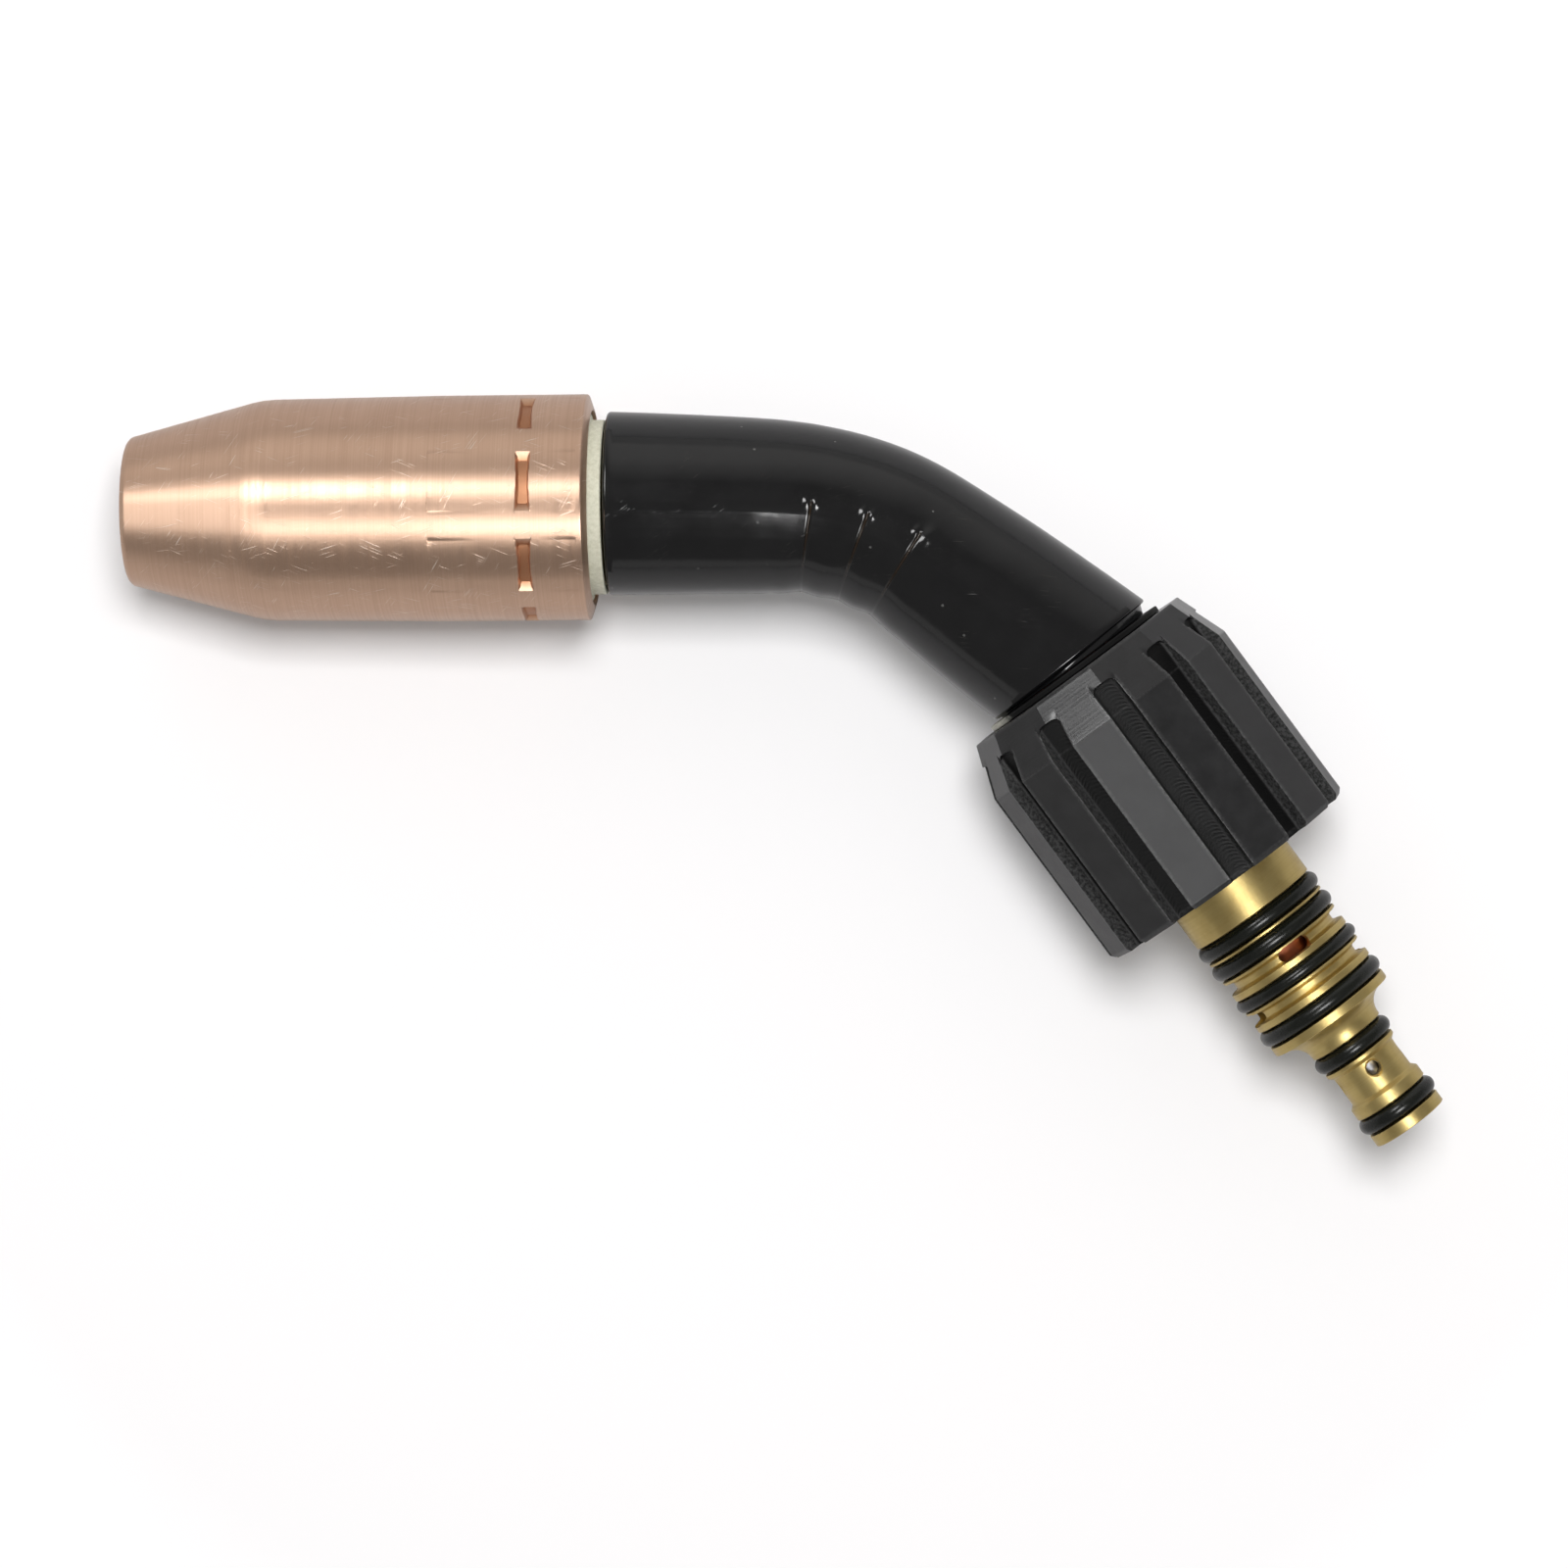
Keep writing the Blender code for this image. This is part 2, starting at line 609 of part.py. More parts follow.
def make_spatter_guard(axis):
    inside = HEAD_NOSE_DIAMETER / 2 + TOUCH_GAP
    rear = HEAD_SEAT_FRONT - TOUCH_GAP
    front = rear - GUARD_LENGTH
    outer = sleeve_outline(front, rear, inside + GUARD_WALL)
    inner = sleeve_outline(front, rear, inside)
    return make_ring("spatter_guard", outer, inner, axis, "ceramic", MEDIUM_STEPS)


# Neck tubes and their cover, swept in the plane of the bend


def heading(angle):
    """Direction after a bend of an angle away from +X."""
    return Vector((cos(angle), -sin(angle), 0.0))


def bend_points(start, radius, angle, steps):
    """Points of a bend that leaves a start point along +X, with both ends of the arc."""
    centre = start + Vector((0.0, -radius, 0.0))
    turns = [angle * k / steps for k in range(steps + 1)]
    return [centre + radius * Vector((sin(t), cos(t), 0.0)) for t in turns]


def plug_origin():
    """Centre of the union nut's front face."""
    bend_end = bend_points(Vector((BEND_START, 0.0, 0.0)), BEND_RADIUS, BEND_ANGLE, BEND_STEPS)[-1]
    return bend_end + NECK_RUNOUT * heading(BEND_ANGLE)


def neck_route(front, rear):
    """Centre line of a neck tube from a nozzle-axis station to a plug-axis station."""
    bend = bend_points(Vector((BEND_START, 0.0, 0.0)), BEND_RADIUS, BEND_ANGLE, BEND_STEPS)
    return [Vector((front, 0.0, 0.0))] + bend + [plug_origin() + rear * heading(BEND_ANGLE)]


def swept_tube(name, points, diameter, wall, sides, lay, radii=None):
    """An open tube along points, given its wall inwards."""
    curve = bpy.data.curves.new(name, "CURVE")
    curve.dimensions = "3D"
    curve.bevel_depth = diameter / 2
    curve.bevel_resolution = (sides - 4) // 2
    spline = curve.splines.new("POLY")
    spline.points.add(len(points) - 1)
    for k, point in enumerate(points):
        spline.points[k].co = (*point, 1.0)
        spline.points[k].radius = radii[k] if radii else 1.0
    guide = add_mesh_object(name + "_route", curve, lay)
    depsgraph = bpy.context.evaluated_depsgraph_get()
    surface = bpy.data.meshes.new_from_object(guide.evaluated_get(depsgraph))
    bpy.data.objects.remove(guide, do_unlink=True)
    tube = add_mesh_object(name, surface, lay)
    shell = tube.modifiers.new("wall", "SOLIDIFY")
    shell.thickness = wall
    shell.offset = -1.0
    return tube


def make_neck_tube(name, lay, front, rear, diameter, wall, finish_name):
    tube = swept_tube(name, neck_route(front, rear), diameter, wall, TUBE_SIDES, lay)
    return paint(bake(tube), finish_name)


def cover_route():
    """Centre line of the cover, which bends less than the tubes, and each point's share of its bore."""
    angle = BEND_ANGLE - COVER_LAG
    end = plug_origin() - COVER_END_GAP * heading(BEND_ANGLE)
    run_to_corner = -end.y / sin(angle)
    corner = end - run_to_corner * heading(angle)
    tangent = COVER_BEND_RADIUS * tan(angle / 2)
    arc_length = COVER_BEND_RADIUS * angle
    lead = corner.x - tangent - COVER_FRONT
    arc_start = Vector((COVER_FRONT + lead, 0.0, 0.0))
    overrun = COVER_WALL + COVER_BORE_RADIUS
    total = lead + arc_length + run_to_corner - tangent + overrun
    points = []
    squeezes = []
    for step in range(COVER_STEPS + 1):
        along = total * step / COVER_STEPS
        turn = min(max((along - lead) / COVER_BEND_RADIUS, 0.0), angle)
        centre = arc_start + Vector((0.0, -COVER_BEND_RADIUS, 0.0))
        point = centre + COVER_BEND_RADIUS * Vector((sin(turn), cos(turn), 0.0))
        straight = min(along - lead, 0.0) + max(along - lead - arc_length, 0.0)
        points.append(point + straight * heading(turn))
        off_bend = (along - lead - arc_length / 2) / COVER_SQUEEZE_SPREAD
        squeezes.append(1.0 - COVER_SQUEEZE * exp(-(off_bend**2)))
    return points, squeezes


def cover_end_cutter(lay):
    """A block that trims the cover square to the plug, a little further off on the outer side."""
    size = 4 * (COVER_BORE_RADIUS + COVER_WALL)
    form = bmesh.new()
    bmesh.ops.create_cube(form, size=size)
    bmesh.ops.translate(form, vec=(size / 2, 0, 0), verts=form.verts)
    block = mesh_cutter("cover_end", form, lay)
    place = plug_origin() - COVER_END_GAP * heading(BEND_ANGLE)
    block.matrix_local = Matrix.Translation(place) @ Matrix.Rotation(COVER_END_TILT - BEND_ANGLE, 4, "Z")
    return block


def make_neck_cover(lay):
    points, squeezes = cover_route()
    diameter = 2 * (COVER_BORE_RADIUS + COVER_WALL)
    cover = swept_tube("neck_cover", points, diameter, COVER_WALL, COVER_SIDES, lay, squeezes)
    return paint(bake(cover, [cover_end_cutter(lay)]), "sleeve")


def make_neck_tubes(lay):
    jacket_front = CHAMBER_REAR + TOUCH_GAP
    divider_front = CHAMBER_FRONT + HEAD_TURNING_SPACE
    conduit_front = CONDUIT_FRONT + TOUCH_GAP
    jacket_rear = HUB_JACKET_SOCKET - TOUCH_GAP
    divider_rear = DIVIDER_END - TOUCH_GAP
    conduit_rear = CONDUIT_END - TOUCH_GAP
    liner_front = TIP_SOCKET_REAR + TOUCH_GAP
    liner_rear = PLUG_END - TOUCH_GAP
    make_neck_tube(
        "jacket_tube", lay, jacket_front, jacket_rear, JACKET_DIAMETER, JACKET_WALL, "copper_tube"
    )
    make_neck_tube(
        "water_divider_tube", lay, divider_front, divider_rear, DIVIDER_DIAMETER, DIVIDER_WALL, "copper_tube"
    )
    make_neck_tube(
        "conduit_tube", lay, conduit_front, conduit_rear, CONDUIT_DIAMETER, CONDUIT_WALL, "copper_tube"
    )
    make_neck_tube("neck_liner", lay, liner_front, liner_rear, LINER_DIAMETER, LINER_WALL, "liner")


# Coupling plug and its seals


def groove_outline(start, body_radius, seal_diameter, section):
    """The four corners of an O-ring groove."""
    floor = seal_diameter / 2 - section - TOUCH_GAP
    end = start + section + 2 * GROOVE_GAP
    return [(start, body_radius), (start, floor), (end, floor), (end, body_radius)]


def water_groove_outline(start, body_radius):
    """A wide groove with flared sides."""
    floor = WATER_GROOVE_DIAMETER / 2
    end = start + WATER_GROOVE_WIDTH
    middle = floor + (body_radius - floor) / 3
    return [
        (start, body_radius),
        (start + GROOVE_FLARE / 3, middle),
        (start + GROOVE_FLARE, floor),
        (end - GROOVE_FLARE, floor),
        (end - GROOVE_FLARE / 3, middle),
        (end, body_radius),
    ]


def taper_outline():
    """The hollow curve between the flange and the nipple, as a quarter of an ellipse."""
    fall = (PLUG_DIAMETER - NIPPLE_DIAMETER) / 2
    turns = [pi / 2 * k / TAPER_STEPS for k in range(TAPER_STEPS + 1)]
    return [(TAPER_START + TAPER_LENGTH * (1 - cos(t)), PLUG_DIAMETER / 2 - fall * sin(t)) for t in turns]


def plug_outer_outline():
    hub = HUB_DIAMETER / 2
    hub_groove = HUB_SNAP_GROOVE_DIAMETER / 2
    body = PLUG_DIAMETER / 2
    nipple = NIPPLE_DIAMETER / 2
    neck = NIPPLE_NECK_DIAMETER / 2
    groove_start = SNAP_RING_START - TOUCH_GAP
    groove_end = SNAP_RING_START + SNAP_WIRE + NUT_FLOAT + TOUCH_GAP
    collar = [(COLLAR_FRONT, COLLAR_DIAMETER / 2), (COLLAR_REAR, COLLAR_DIAMETER / 2)]
    outline = [(0.0, hub), (groove_start, hub), (groove_start, hub_groove)]
    outline += [(groove_end, hub_groove), (groove_end, hub), (COLLAR_FRONT, hub)]
    outline += collar
    outline += [(COLLAR_REAR, body)]
    outline += groove_outline(RING_1, body, PLUG_SEAL_DIAMETER, RING_SECTION)
    outline += groove_outline(RING_2, body, PLUG_SEAL_DIAMETER, RING_SECTION)
    outline += water_groove_outline(WATER_GROOVE_1, body)
    outline += groove_outline(RING_3, body, PLUG_SEAL_DIAMETER, SLIM_RING_SECTION)
    outline += water_groove_outline(WATER_GROOVE_2, body)
    outline += groove_outline(RING_4, body, PLUG_SEAL_DIAMETER, RING_SECTION)
    outline += taper_outline()
    outline += groove_outline(RING_5, nipple, NIPPLE_SEAL_DIAMETER, RING_SECTION)
    outline += [(NECK_START - NIPPLE_RIM / 2, nipple), (NECK_START, neck)]
    outline += [(SHOULDER_START - NIPPLE_FLARE, neck), (SHOULDER_START, nipple)]
    outline += groove_outline(RING_6, nipple, NIPPLE_SEAL_DIAMETER, RING_SECTION)
    outline += [(PLUG_END, nipple)]
    return outline


def plug_bore_outline():
    """Bores for the three tubes, each stepping down behind the one before it."""
    jacket = JACKET_DIAMETER / 2 + TOUCH_GAP
    divider = DIVIDER_DIAMETER / 2 + TOUCH_GAP
    conduit = CONDUIT_DIAMETER / 2 + TOUCH_GAP
    inner_chamber = DIVIDER_DIAMETER / 2 - DIVIDER_WALL
    seat_start = DIVIDER_END - DIVIDER_SEAT
    return [
        (0.0, jacket),
        (HUB_JACKET_SOCKET, jacket),
        (HUB_JACKET_SOCKET, CHAMBER_RADIUS),
        (seat_start, CHAMBER_RADIUS),
        (seat_start, divider),
        (DIVIDER_END, divider),
        (DIVIDER_END, inner_chamber),
        (CHAMBER_2_END, inner_chamber),
        (CHAMBER_2_END, conduit),
        (CONDUIT_END, conduit),
        (CONDUIT_END, LINER_BORE_RADIUS),
        (PLUG_END, LINER_BORE_RADIUS),
    ]


def water_ports(axis):
    """Two opposite slots in each water groove, a quarter turn apart from groove to groove."""
    outside = PLUG_DIAMETER / 2 + RING_SECTION
    grooves = [
        (WATER_GROOVE_1, CHAMBER_RADIUS, PORT_TURN),
        (WATER_GROOVE_2, DIVIDER_DIAMETER / 2 - DIVIDER_WALL, PORT_TURN - pi / 2),
    ]
    ports = []
    for start, chamber, turn in grooves:
        z = start + WATER_GROOVE_WIDTH / 2
        for side in (0.0, pi):
            reach = (chamber * 0.85, outside)
            ports.append(arc_slot("water_port", axis, z, -turn + side, PORT_LENGTH, PORT_WIDTH, reach))
    return ports


def gas_ports(axis):
    """Countersunk holes around the nipple's neck."""
    hole = GAS_PORT_DIAMETER / 2
    sink = GAS_PORT_SINK_DIAMETER / 2
    neck = NIPPLE_NECK_DIAMETER / 2
    rim = neck - (sink - hole)
    reach = [(LINER_BORE_RADIUS / 2, hole), (rim, hole), (neck, sink), (neck + sink, sink)]
    z = NECK_START + GAS_PORT_FROM_NECK
    pitch = 2 * pi / GAS_PORT_COUNT
    turns = [k * pitch - GAS_PORT_TURN for k in range(GAS_PORT_COUNT)]
    return [radial_hole("gas_port", axis, z, turn, reach, 12) for turn in turns]


def make_coupling_plug(axis):
    ports = water_ports(axis) + gas_ports(axis)
    outer = plug_outer_outline()
    inner = plug_bore_outline()
    return make_ring("coupling_plug", outer, inner, axis, "brass", MEDIUM_STEPS, ports)


def make_o_ring(name, axis, start, seal_diameter, section):
    radius = seal_diameter / 2 - section / 2
    z = start + GROOVE_GAP + section / 2
    outline = wire_outline(radius, z, section, O_RING_SIDES)
    ring = turned(name, outline, axis, MEDIUM_STEPS)
    return paint(bake(ring), "seal_rubber")


def make_o_rings(axis):
    seats = [
        (RING_1, PLUG_SEAL_DIAMETER, RING_SECTION),
        (RING_2, PLUG_SEAL_DIAMETER, RING_SECTION),
        (RING_3, PLUG_SEAL_DIAMETER, SLIM_RING_SECTION),
        (RING_4, PLUG_SEAL_DIAMETER, RING_SECTION),
        (RING_5, NIPPLE_SEAL_DIAMETER, RING_SECTION),
        (RING_6, NIPPLE_SEAL_DIAMETER, RING_SECTION),
    ]
    for number, (start, seal_diameter, section) in enumerate(seats, start=1):
        make_o_ring("o_ring_%d" % number, axis, start, seal_diameter, section)


# Union nut


def flute_cutter(axis, angle):
    """A round-bottomed flute that starts behind the nut's front face and runs out at its rear."""
    radius = FLUTE_WIDTH / 2
    length = NUT_LENGTH - FLUTE_START + FLUTE_WIDTH
    form = bmesh.new()
    bmesh.ops.create_cone(form, cap_ends=True, segments=12, radius1=radius, radius2=radius, depth=length)
    middle = FLUTE_FLOOR_DIAMETER / 2 + radius
    for vert in form.verts:
        vert.co.x += middle + (FLUTE_WIDTH if vert.co.x > MERGE else 0.0)
        vert.co.z += FLUTE_START + length / 2
    bmesh.ops.rotate(form, verts=form.verts, matrix=Matrix.Rotation(angle, 3, "Z"))
    return mesh_cutter("flute", form, axis)


def nut_bore_cutter(axis):
    """The web's bore with its snap ring groove, and the wide socket behind the web."""
    socket = NUT_SOCKET_DIAMETER / 2
    groove_start = SNAP_RING_START - GROOVE_GAP
    groove_end = SNAP_RING_START + SNAP_WIRE + GROOVE_GAP
    outline = [
        (-NUT_WEB, NUT_BORE_RADIUS),
        (groove_start, NUT_BORE_RADIUS),
        (groove_start, NUT_GROOVE_RADIUS),
        (groove_end, NUT_GROOVE_RADIUS),
        (groove_end, NUT_BORE_RADIUS),
        (NUT_WEB, NUT_BORE_RADIUS),
        (NUT_WEB, socket),
        (NUT_LENGTH + NUT_WEB, socket),
    ]
    return turned("nut_bore", solid_outline(outline), axis, LARGE_STEPS, closed=False)


def make_union_nut(axis):
    """A twelve-sided body whose corners are milled away by the flutes."""
    corner = 1.0 / cos(pi / NUT_SIDES)
    outline = [
        (0.0, NUT_FRONT_FLATS / 2 * corner),
        (NUT_CONE_LENGTH, NUT_FLATS / 2 * corner),
        (NUT_LENGTH - NUT_REAR_BEVEL, NUT_FLATS / 2 * corner),
        (NUT_LENGTH, NUT_REAR_FLATS / 2 * corner),
    ]
    nut = turned("union_nut", solid_outline(outline), axis, NUT_SIDES, closed=False)
    pitch = 2 * pi / NUT_SIDES
    cutters = [nut_bore_cutter(axis)] + [flute_cutter(axis, k * pitch) for k in range(NUT_SIDES)]
    return paint(bake(nut, cutters), "nut_plastic")


def make_nut_thread_insert(axis):
    outside = NUT_SOCKET_DIAMETER / 2 - TOUCH_GAP
    inside = outside - INSERT_RING_WALL
    rear = INSERT_RING_START + INSERT_RING_LENGTH
    outer = sleeve_outline(INSERT_RING_START, rear, outside)
    inner = [
        (INSERT_RING_START, inside),
        (rear - INSERT_RING_CHAMFER, inside),
        (rear, inside + INSERT_RING_CHAMFER),
    ]
    return make_ring("nut_thread_insert", outer, inner, axis, "brass", LARGE_STEPS)


def make_nut_snap_ring(axis):
    z = SNAP_RING_START + SNAP_WIRE / 2
    outline = wire_outline(SNAP_RING_RADIUS, z, SNAP_WIRE, SNAP_WIRE_SIDES)
    ring = turned("nut_snap_ring", outline, axis, LARGE_STEPS)
    opening = wedge("ring_opening", axis, z, 0.0, SNAP_RING_GAP, SNAP_RING_RADIUS, 4 * SNAP_WIRE)
    return paint(bake(ring, [opening]), "spring_steel")


def make_nut_washer(axis):
    rear = -TOUCH_GAP
    front = rear - WASHER_THICKNESS
    outer = sleeve_outline(front, rear, WASHER_DIAMETER / 2)
    inner = sleeve_outline(front, rear, JACKET_DIAMETER / 2 + TOUCH_GAP)
    return make_ring("nut_washer", outer, inner, axis, "zinc_plate", LARGE_STEPS)


# Placing the whole neck


def lowest(obj, turn):
    return min((turn @ (obj.matrix_world @ vert.co)).z for vert in obj.data.vertices)


def level_turn(nut, nozzle):
    """Turn about the plug's direction that brings nut and nozzle down to one level."""
    direction = heading(BEND_ANGLE)
    shoulder = Vector((NOZZLE_CONE_LENGTH, 0.0, 0.0)) - plug_origin()
    reach = shoulder.cross(direction).length
    tilt = 0.0
    for _ in range(LEVEL_ROUNDS):
        turn = Matrix.Rotation(tilt, 3, direction)
        tilt += asin((lowest(nozzle, turn) - lowest(nut, turn)) / reach)
    return Matrix.Rotation(tilt, 3, direction)


def stand_on_ground(lay, collection):
    """Move the whole neck so that the origin is the bottom centre of its box."""
    bpy.context.view_layer.update()
    meshes = [obj for obj in collection.objects if obj.type == "MESH"]
    corners = [obj.matrix_world @ vert.co for obj in meshes for vert in obj.data.vertices]
    lows = [min(corner[k] for corner in corners) for k in range(3)]
    highs = [max(corner[k] for corner in corners) for k in range(3)]
    lay.location -= Vector(((lows[0] + highs[0]) / 2, (lows[1] + highs[1]) / 2, lows[2]))
    bpy.context.view_layer.update()


def main():
    clear_scene()
    collection = new_collection("mig_torch_neck")
    lay = add_empty("neck_lay", collection)
    nozzle_axis = add_empty("nozzle_axis", collection, lay, Euler((0, pi / 2, 0)).to_matrix().to_4x4())
    plug_turn = Matrix.Rotation(-BEND_ANGLE, 4, "Z") @ Matrix.Rotation(pi / 2, 4, "Y")
    plug_axis = add_empty("plug_axis", collection, lay, Matrix.Translation(plug_origin()) @ plug_turn)
    nut_axis = add_empty("nut_axis", collection, plug_axis, Matrix.Rotation(-NUT_TURN, 4, "Z"))

    nozzle = make_gas_nozzle(nozzle_axis)
    make_nozzle_insulator(nozzle_axis)
    make_nozzle_insert(nozzle_axis)
    make_nozzle_grip_ring(nozzle_axis)
    make_contact_tip(nozzle_axis)
    make_tip_holder(nozzle_axis)
    make_spatter_guard(nozzle_axis)
    make_neck_head(nozzle_axis)
    make_neck_tubes(lay)
    make_neck_cover(lay)
    make_coupling_plug(plug_axis)
    make_o_rings(plug_axis)
    make_nut_washer(plug_axis)
    make_nut_snap_ring(plug_axis)
    nut = make_union_nut(nut_axis)
    make_nut_thread_insert(nut_axis)

    bpy.context.view_layer.update()
    lay.rotation_euler = level_turn(nut, nozzle).to_euler()
    stand_on_ground(lay, collection)
    for empty in (nozzle_axis, plug_axis):
        place = empty.matrix_world.translation
        along = empty.matrix_world.to_3x3() @ Vector((0, 0, 1))
        print("%s at (%.6f, %.6f, %.6f) along (%.6f, %.6f, %.6f)" % (empty.name, *place, *along))


main()
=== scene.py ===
"""Looks for the swan neck of a water-cooled MIG welding torch, built around its CAD frame."""

import json
from cmath import phase, rect
from functools import cache, partial
from math import ceil, copysign, cos, pi, radians, sin, tan

import bmesh
import bpy
import numpy as np
from mathutils import Matrix, Vector


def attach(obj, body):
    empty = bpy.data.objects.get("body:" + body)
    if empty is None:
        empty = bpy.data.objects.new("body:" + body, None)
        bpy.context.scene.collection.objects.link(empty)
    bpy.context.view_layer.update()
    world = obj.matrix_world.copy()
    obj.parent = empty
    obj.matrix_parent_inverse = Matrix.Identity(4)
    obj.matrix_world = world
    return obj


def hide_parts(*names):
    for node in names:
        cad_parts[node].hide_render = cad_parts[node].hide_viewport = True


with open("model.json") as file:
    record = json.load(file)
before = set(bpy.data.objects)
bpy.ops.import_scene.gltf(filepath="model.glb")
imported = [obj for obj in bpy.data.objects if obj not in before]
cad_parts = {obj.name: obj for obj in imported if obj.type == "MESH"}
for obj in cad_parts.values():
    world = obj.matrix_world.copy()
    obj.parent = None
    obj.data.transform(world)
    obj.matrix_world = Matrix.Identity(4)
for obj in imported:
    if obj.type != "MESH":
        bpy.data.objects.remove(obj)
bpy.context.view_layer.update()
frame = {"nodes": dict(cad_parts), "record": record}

bl_info = {
    "name": "MIG Torch Neck",
    "version": (1, 0, 0),
    "blender": (4, 5, 0),
    "location": "3D View > Sidebar > Torch Neck",
    "description": "Builds the visible pieces of a welding torch neck around its CAD frame",
    "category": "Object",
}

MM = 0.001

# Places, read from the frame's joints
JOINTS = {joint["name"]: joint for joint in frame["record"]["behaviour"]["joints"]}


def axis_place(joint, up):
    """Matrix of a piece's own space: local Z along the joint's axis and local -X upwards."""
    along = Vector(joint["axis"]).normalized()
    down = -(up - up.dot(along) * along).normalized()
    place = Matrix((down, along.cross(down), along)).transposed().to_4x4()
    return Matrix.Translation(joint["pos_m"]) @ place


NOZZLE_ALONG = Vector(JOINTS["nozzle_turn"]["axis"]).normalized()
PLUG_ALONG = Vector(JOINTS["nut_spin"]["axis"]).normalized()
BEND_UP = PLUG_ALONG.cross(NOZZLE_ALONG).normalized()
BEND_ANGLE = NOZZLE_ALONG.angle(PLUG_ALONG)
NOZZLE_PLACE = axis_place(JOINTS["nozzle_turn"], BEND_UP)
PLUG_PLACE = axis_place(JOINTS["nut_spin"], BEND_UP)


# Sizes and colours that a user would change


def length(name, default, text):
    return bpy.props.FloatProperty(
        name=name, description=text, default=default, min=0.0, soft_max=0.2, precision=5,
        subtype="DISTANCE", unit="LENGTH",
    )


def coordinate(name, default, text):
    return bpy.props.FloatProperty(name=name, description=text, default=default, precision=5, unit="LENGTH")


def turn(name, default, text):
    return bpy.props.FloatProperty(
        name=name, description=text, default=radians(default), precision=3, subtype="ANGLE", unit="ROTATION"
    )


def whole(name, default, text, low, high):
    return bpy.props.IntProperty(name=name, description=text, default=default, min=low, max=high)


def shade(name, default, text):
    return bpy.props.StringProperty(name=name, description=text, default=default)


class NozzleSettings(bpy.types.PropertyGroup):
    """Gas nozzle and its insulator."""

    pockets: whole("Pockets", 8, "Pockets pressed into the shell round its rear", 1, 24)
    pocket_turn: turn("Pocket turn", -13.0, "Angle of the first pocket from the top")
    pocket_angle: turn("Pocket spread", 31.0, "Length of a pocket round the shell")
    pocket_from_rear: length("Pocket from rear", 0.0080, "Pocket's middle to the nozzle's rear face")
    pocket_width: length("Pocket width", 0.00160, "Width in the pocket's middle")
    pocket_end_width: length("Pocket end width", 0.00210, "Width at the pocket's ends")
    pocket_depth: length("Pocket depth", 0.00075, "Depth of the pressed floor")
    pocket_slope: length("Pocket end slope", 0.00100, "Length of the sloping facet at each end")
    pad_front: length("Pad front", 0.0399, "Front edge of the shallow pads, from the mouth")
    pad_rear: length("Pad rear", 0.0587, "Rear edge of the shallow pads, from the mouth")
    pad_depth: length("Pad depth", 0.00006, "Step of the shallow pads at their corners")
    pad_reach: length("Pad reach", 0.0060, "How far back from the front edge the step can be seen")
    columns: whole("Columns", 64, "Mesh columns in each pocket's pitch", 48, 200)
    lip: length("Lip", 0.0009, "Rounding of the mouth's outer edge")
    copper: shade("Copper", "#D6B49C", "Bare brushed copper")
    # The pocket colour is painted shade: darker, redder copper for the pressed hollows
    pressed: shade("Pocket copper with painted shade", "#C28E6C", "Copper in the pockets, painted darker and redder as their shade")
    cream: shade("Insulator", "#DAD9C6", "Cream glass-filled insulator")


class SleeveSettings(bpy.types.PropertyGroup):
    """Insulating sleeve over the bend."""

    front: length("Front", 0.0619, "Sleeve's front end, from the nozzle's mouth")
    diameter: length("Diameter", 0.0234, "Outside of the sleeve")
    wall: length("Wall", 0.0024, "Thickness of the sleeve")
    bend_radius: length("Bend radius", 0.0330, "Radius of the sleeve's centre line")
    lag: turn("Lag", 18.0, "How much less the sleeve bends than the tubes in it")
    end_gap: length("End gap", 0.00155, "Sleeve's end to the union nut's front face, on the centre line")
    end_tilt: turn("End tilt", 2.5, "How far off square the rear end is cut")
    collar: length("Collar", 0.0225, "Diameter of the inner collar that reaches to the nut's washer")
    collar_gap: length("Collar gap", 0.00090, "Collar's end to the union nut's front face")
    crease_depth: length("Crease depth", 0.00024, "Depth of the creases on the inner side of the bend")
    pimple: length("Pimple", 0.00015, "Height of the two pimples at each crease's start")
    black: shade("Sleeve black", "#0B0B0C", "Glossy black sleeve")


class NutSettings(bpy.types.PropertyGroup):
    """Union nut."""

    sides: whole("Sides", 12, "Flats round the nut", 6, 24)
    turn: turn("Turn", 5.5, "Angle of the nearest flute from the top, towards the outer side of the bend")
    flats: length("Flats", 0.0360, "Across flats")
    front_flats: length("Front flats", 0.0310, "Across flats at the front face")
    length: length("Length", 0.0325, "Front face to rear face")
    cone_length: length("Cone length", 0.0070, "Length of the tapered front")
    flute_width: length("Flute width", 0.0034, "Width of the flutes milled along the corners")
    flute_floor: length("Flute floor", 0.0324, "Diameter that the flutes' floors lie on")
    flute_start: length("Flute start", 0.0028, "Front face to the flutes' start")
    thread_pitch: length("Thread pitch", 0.0015, "Pitch of the thread in the nut's ring")
    thread_depth: length("Thread depth", 0.0006, "Depth of the thread in the nut's ring")
    black: shade("Nut black", "#151516", "Matt black glass-filled plastic")


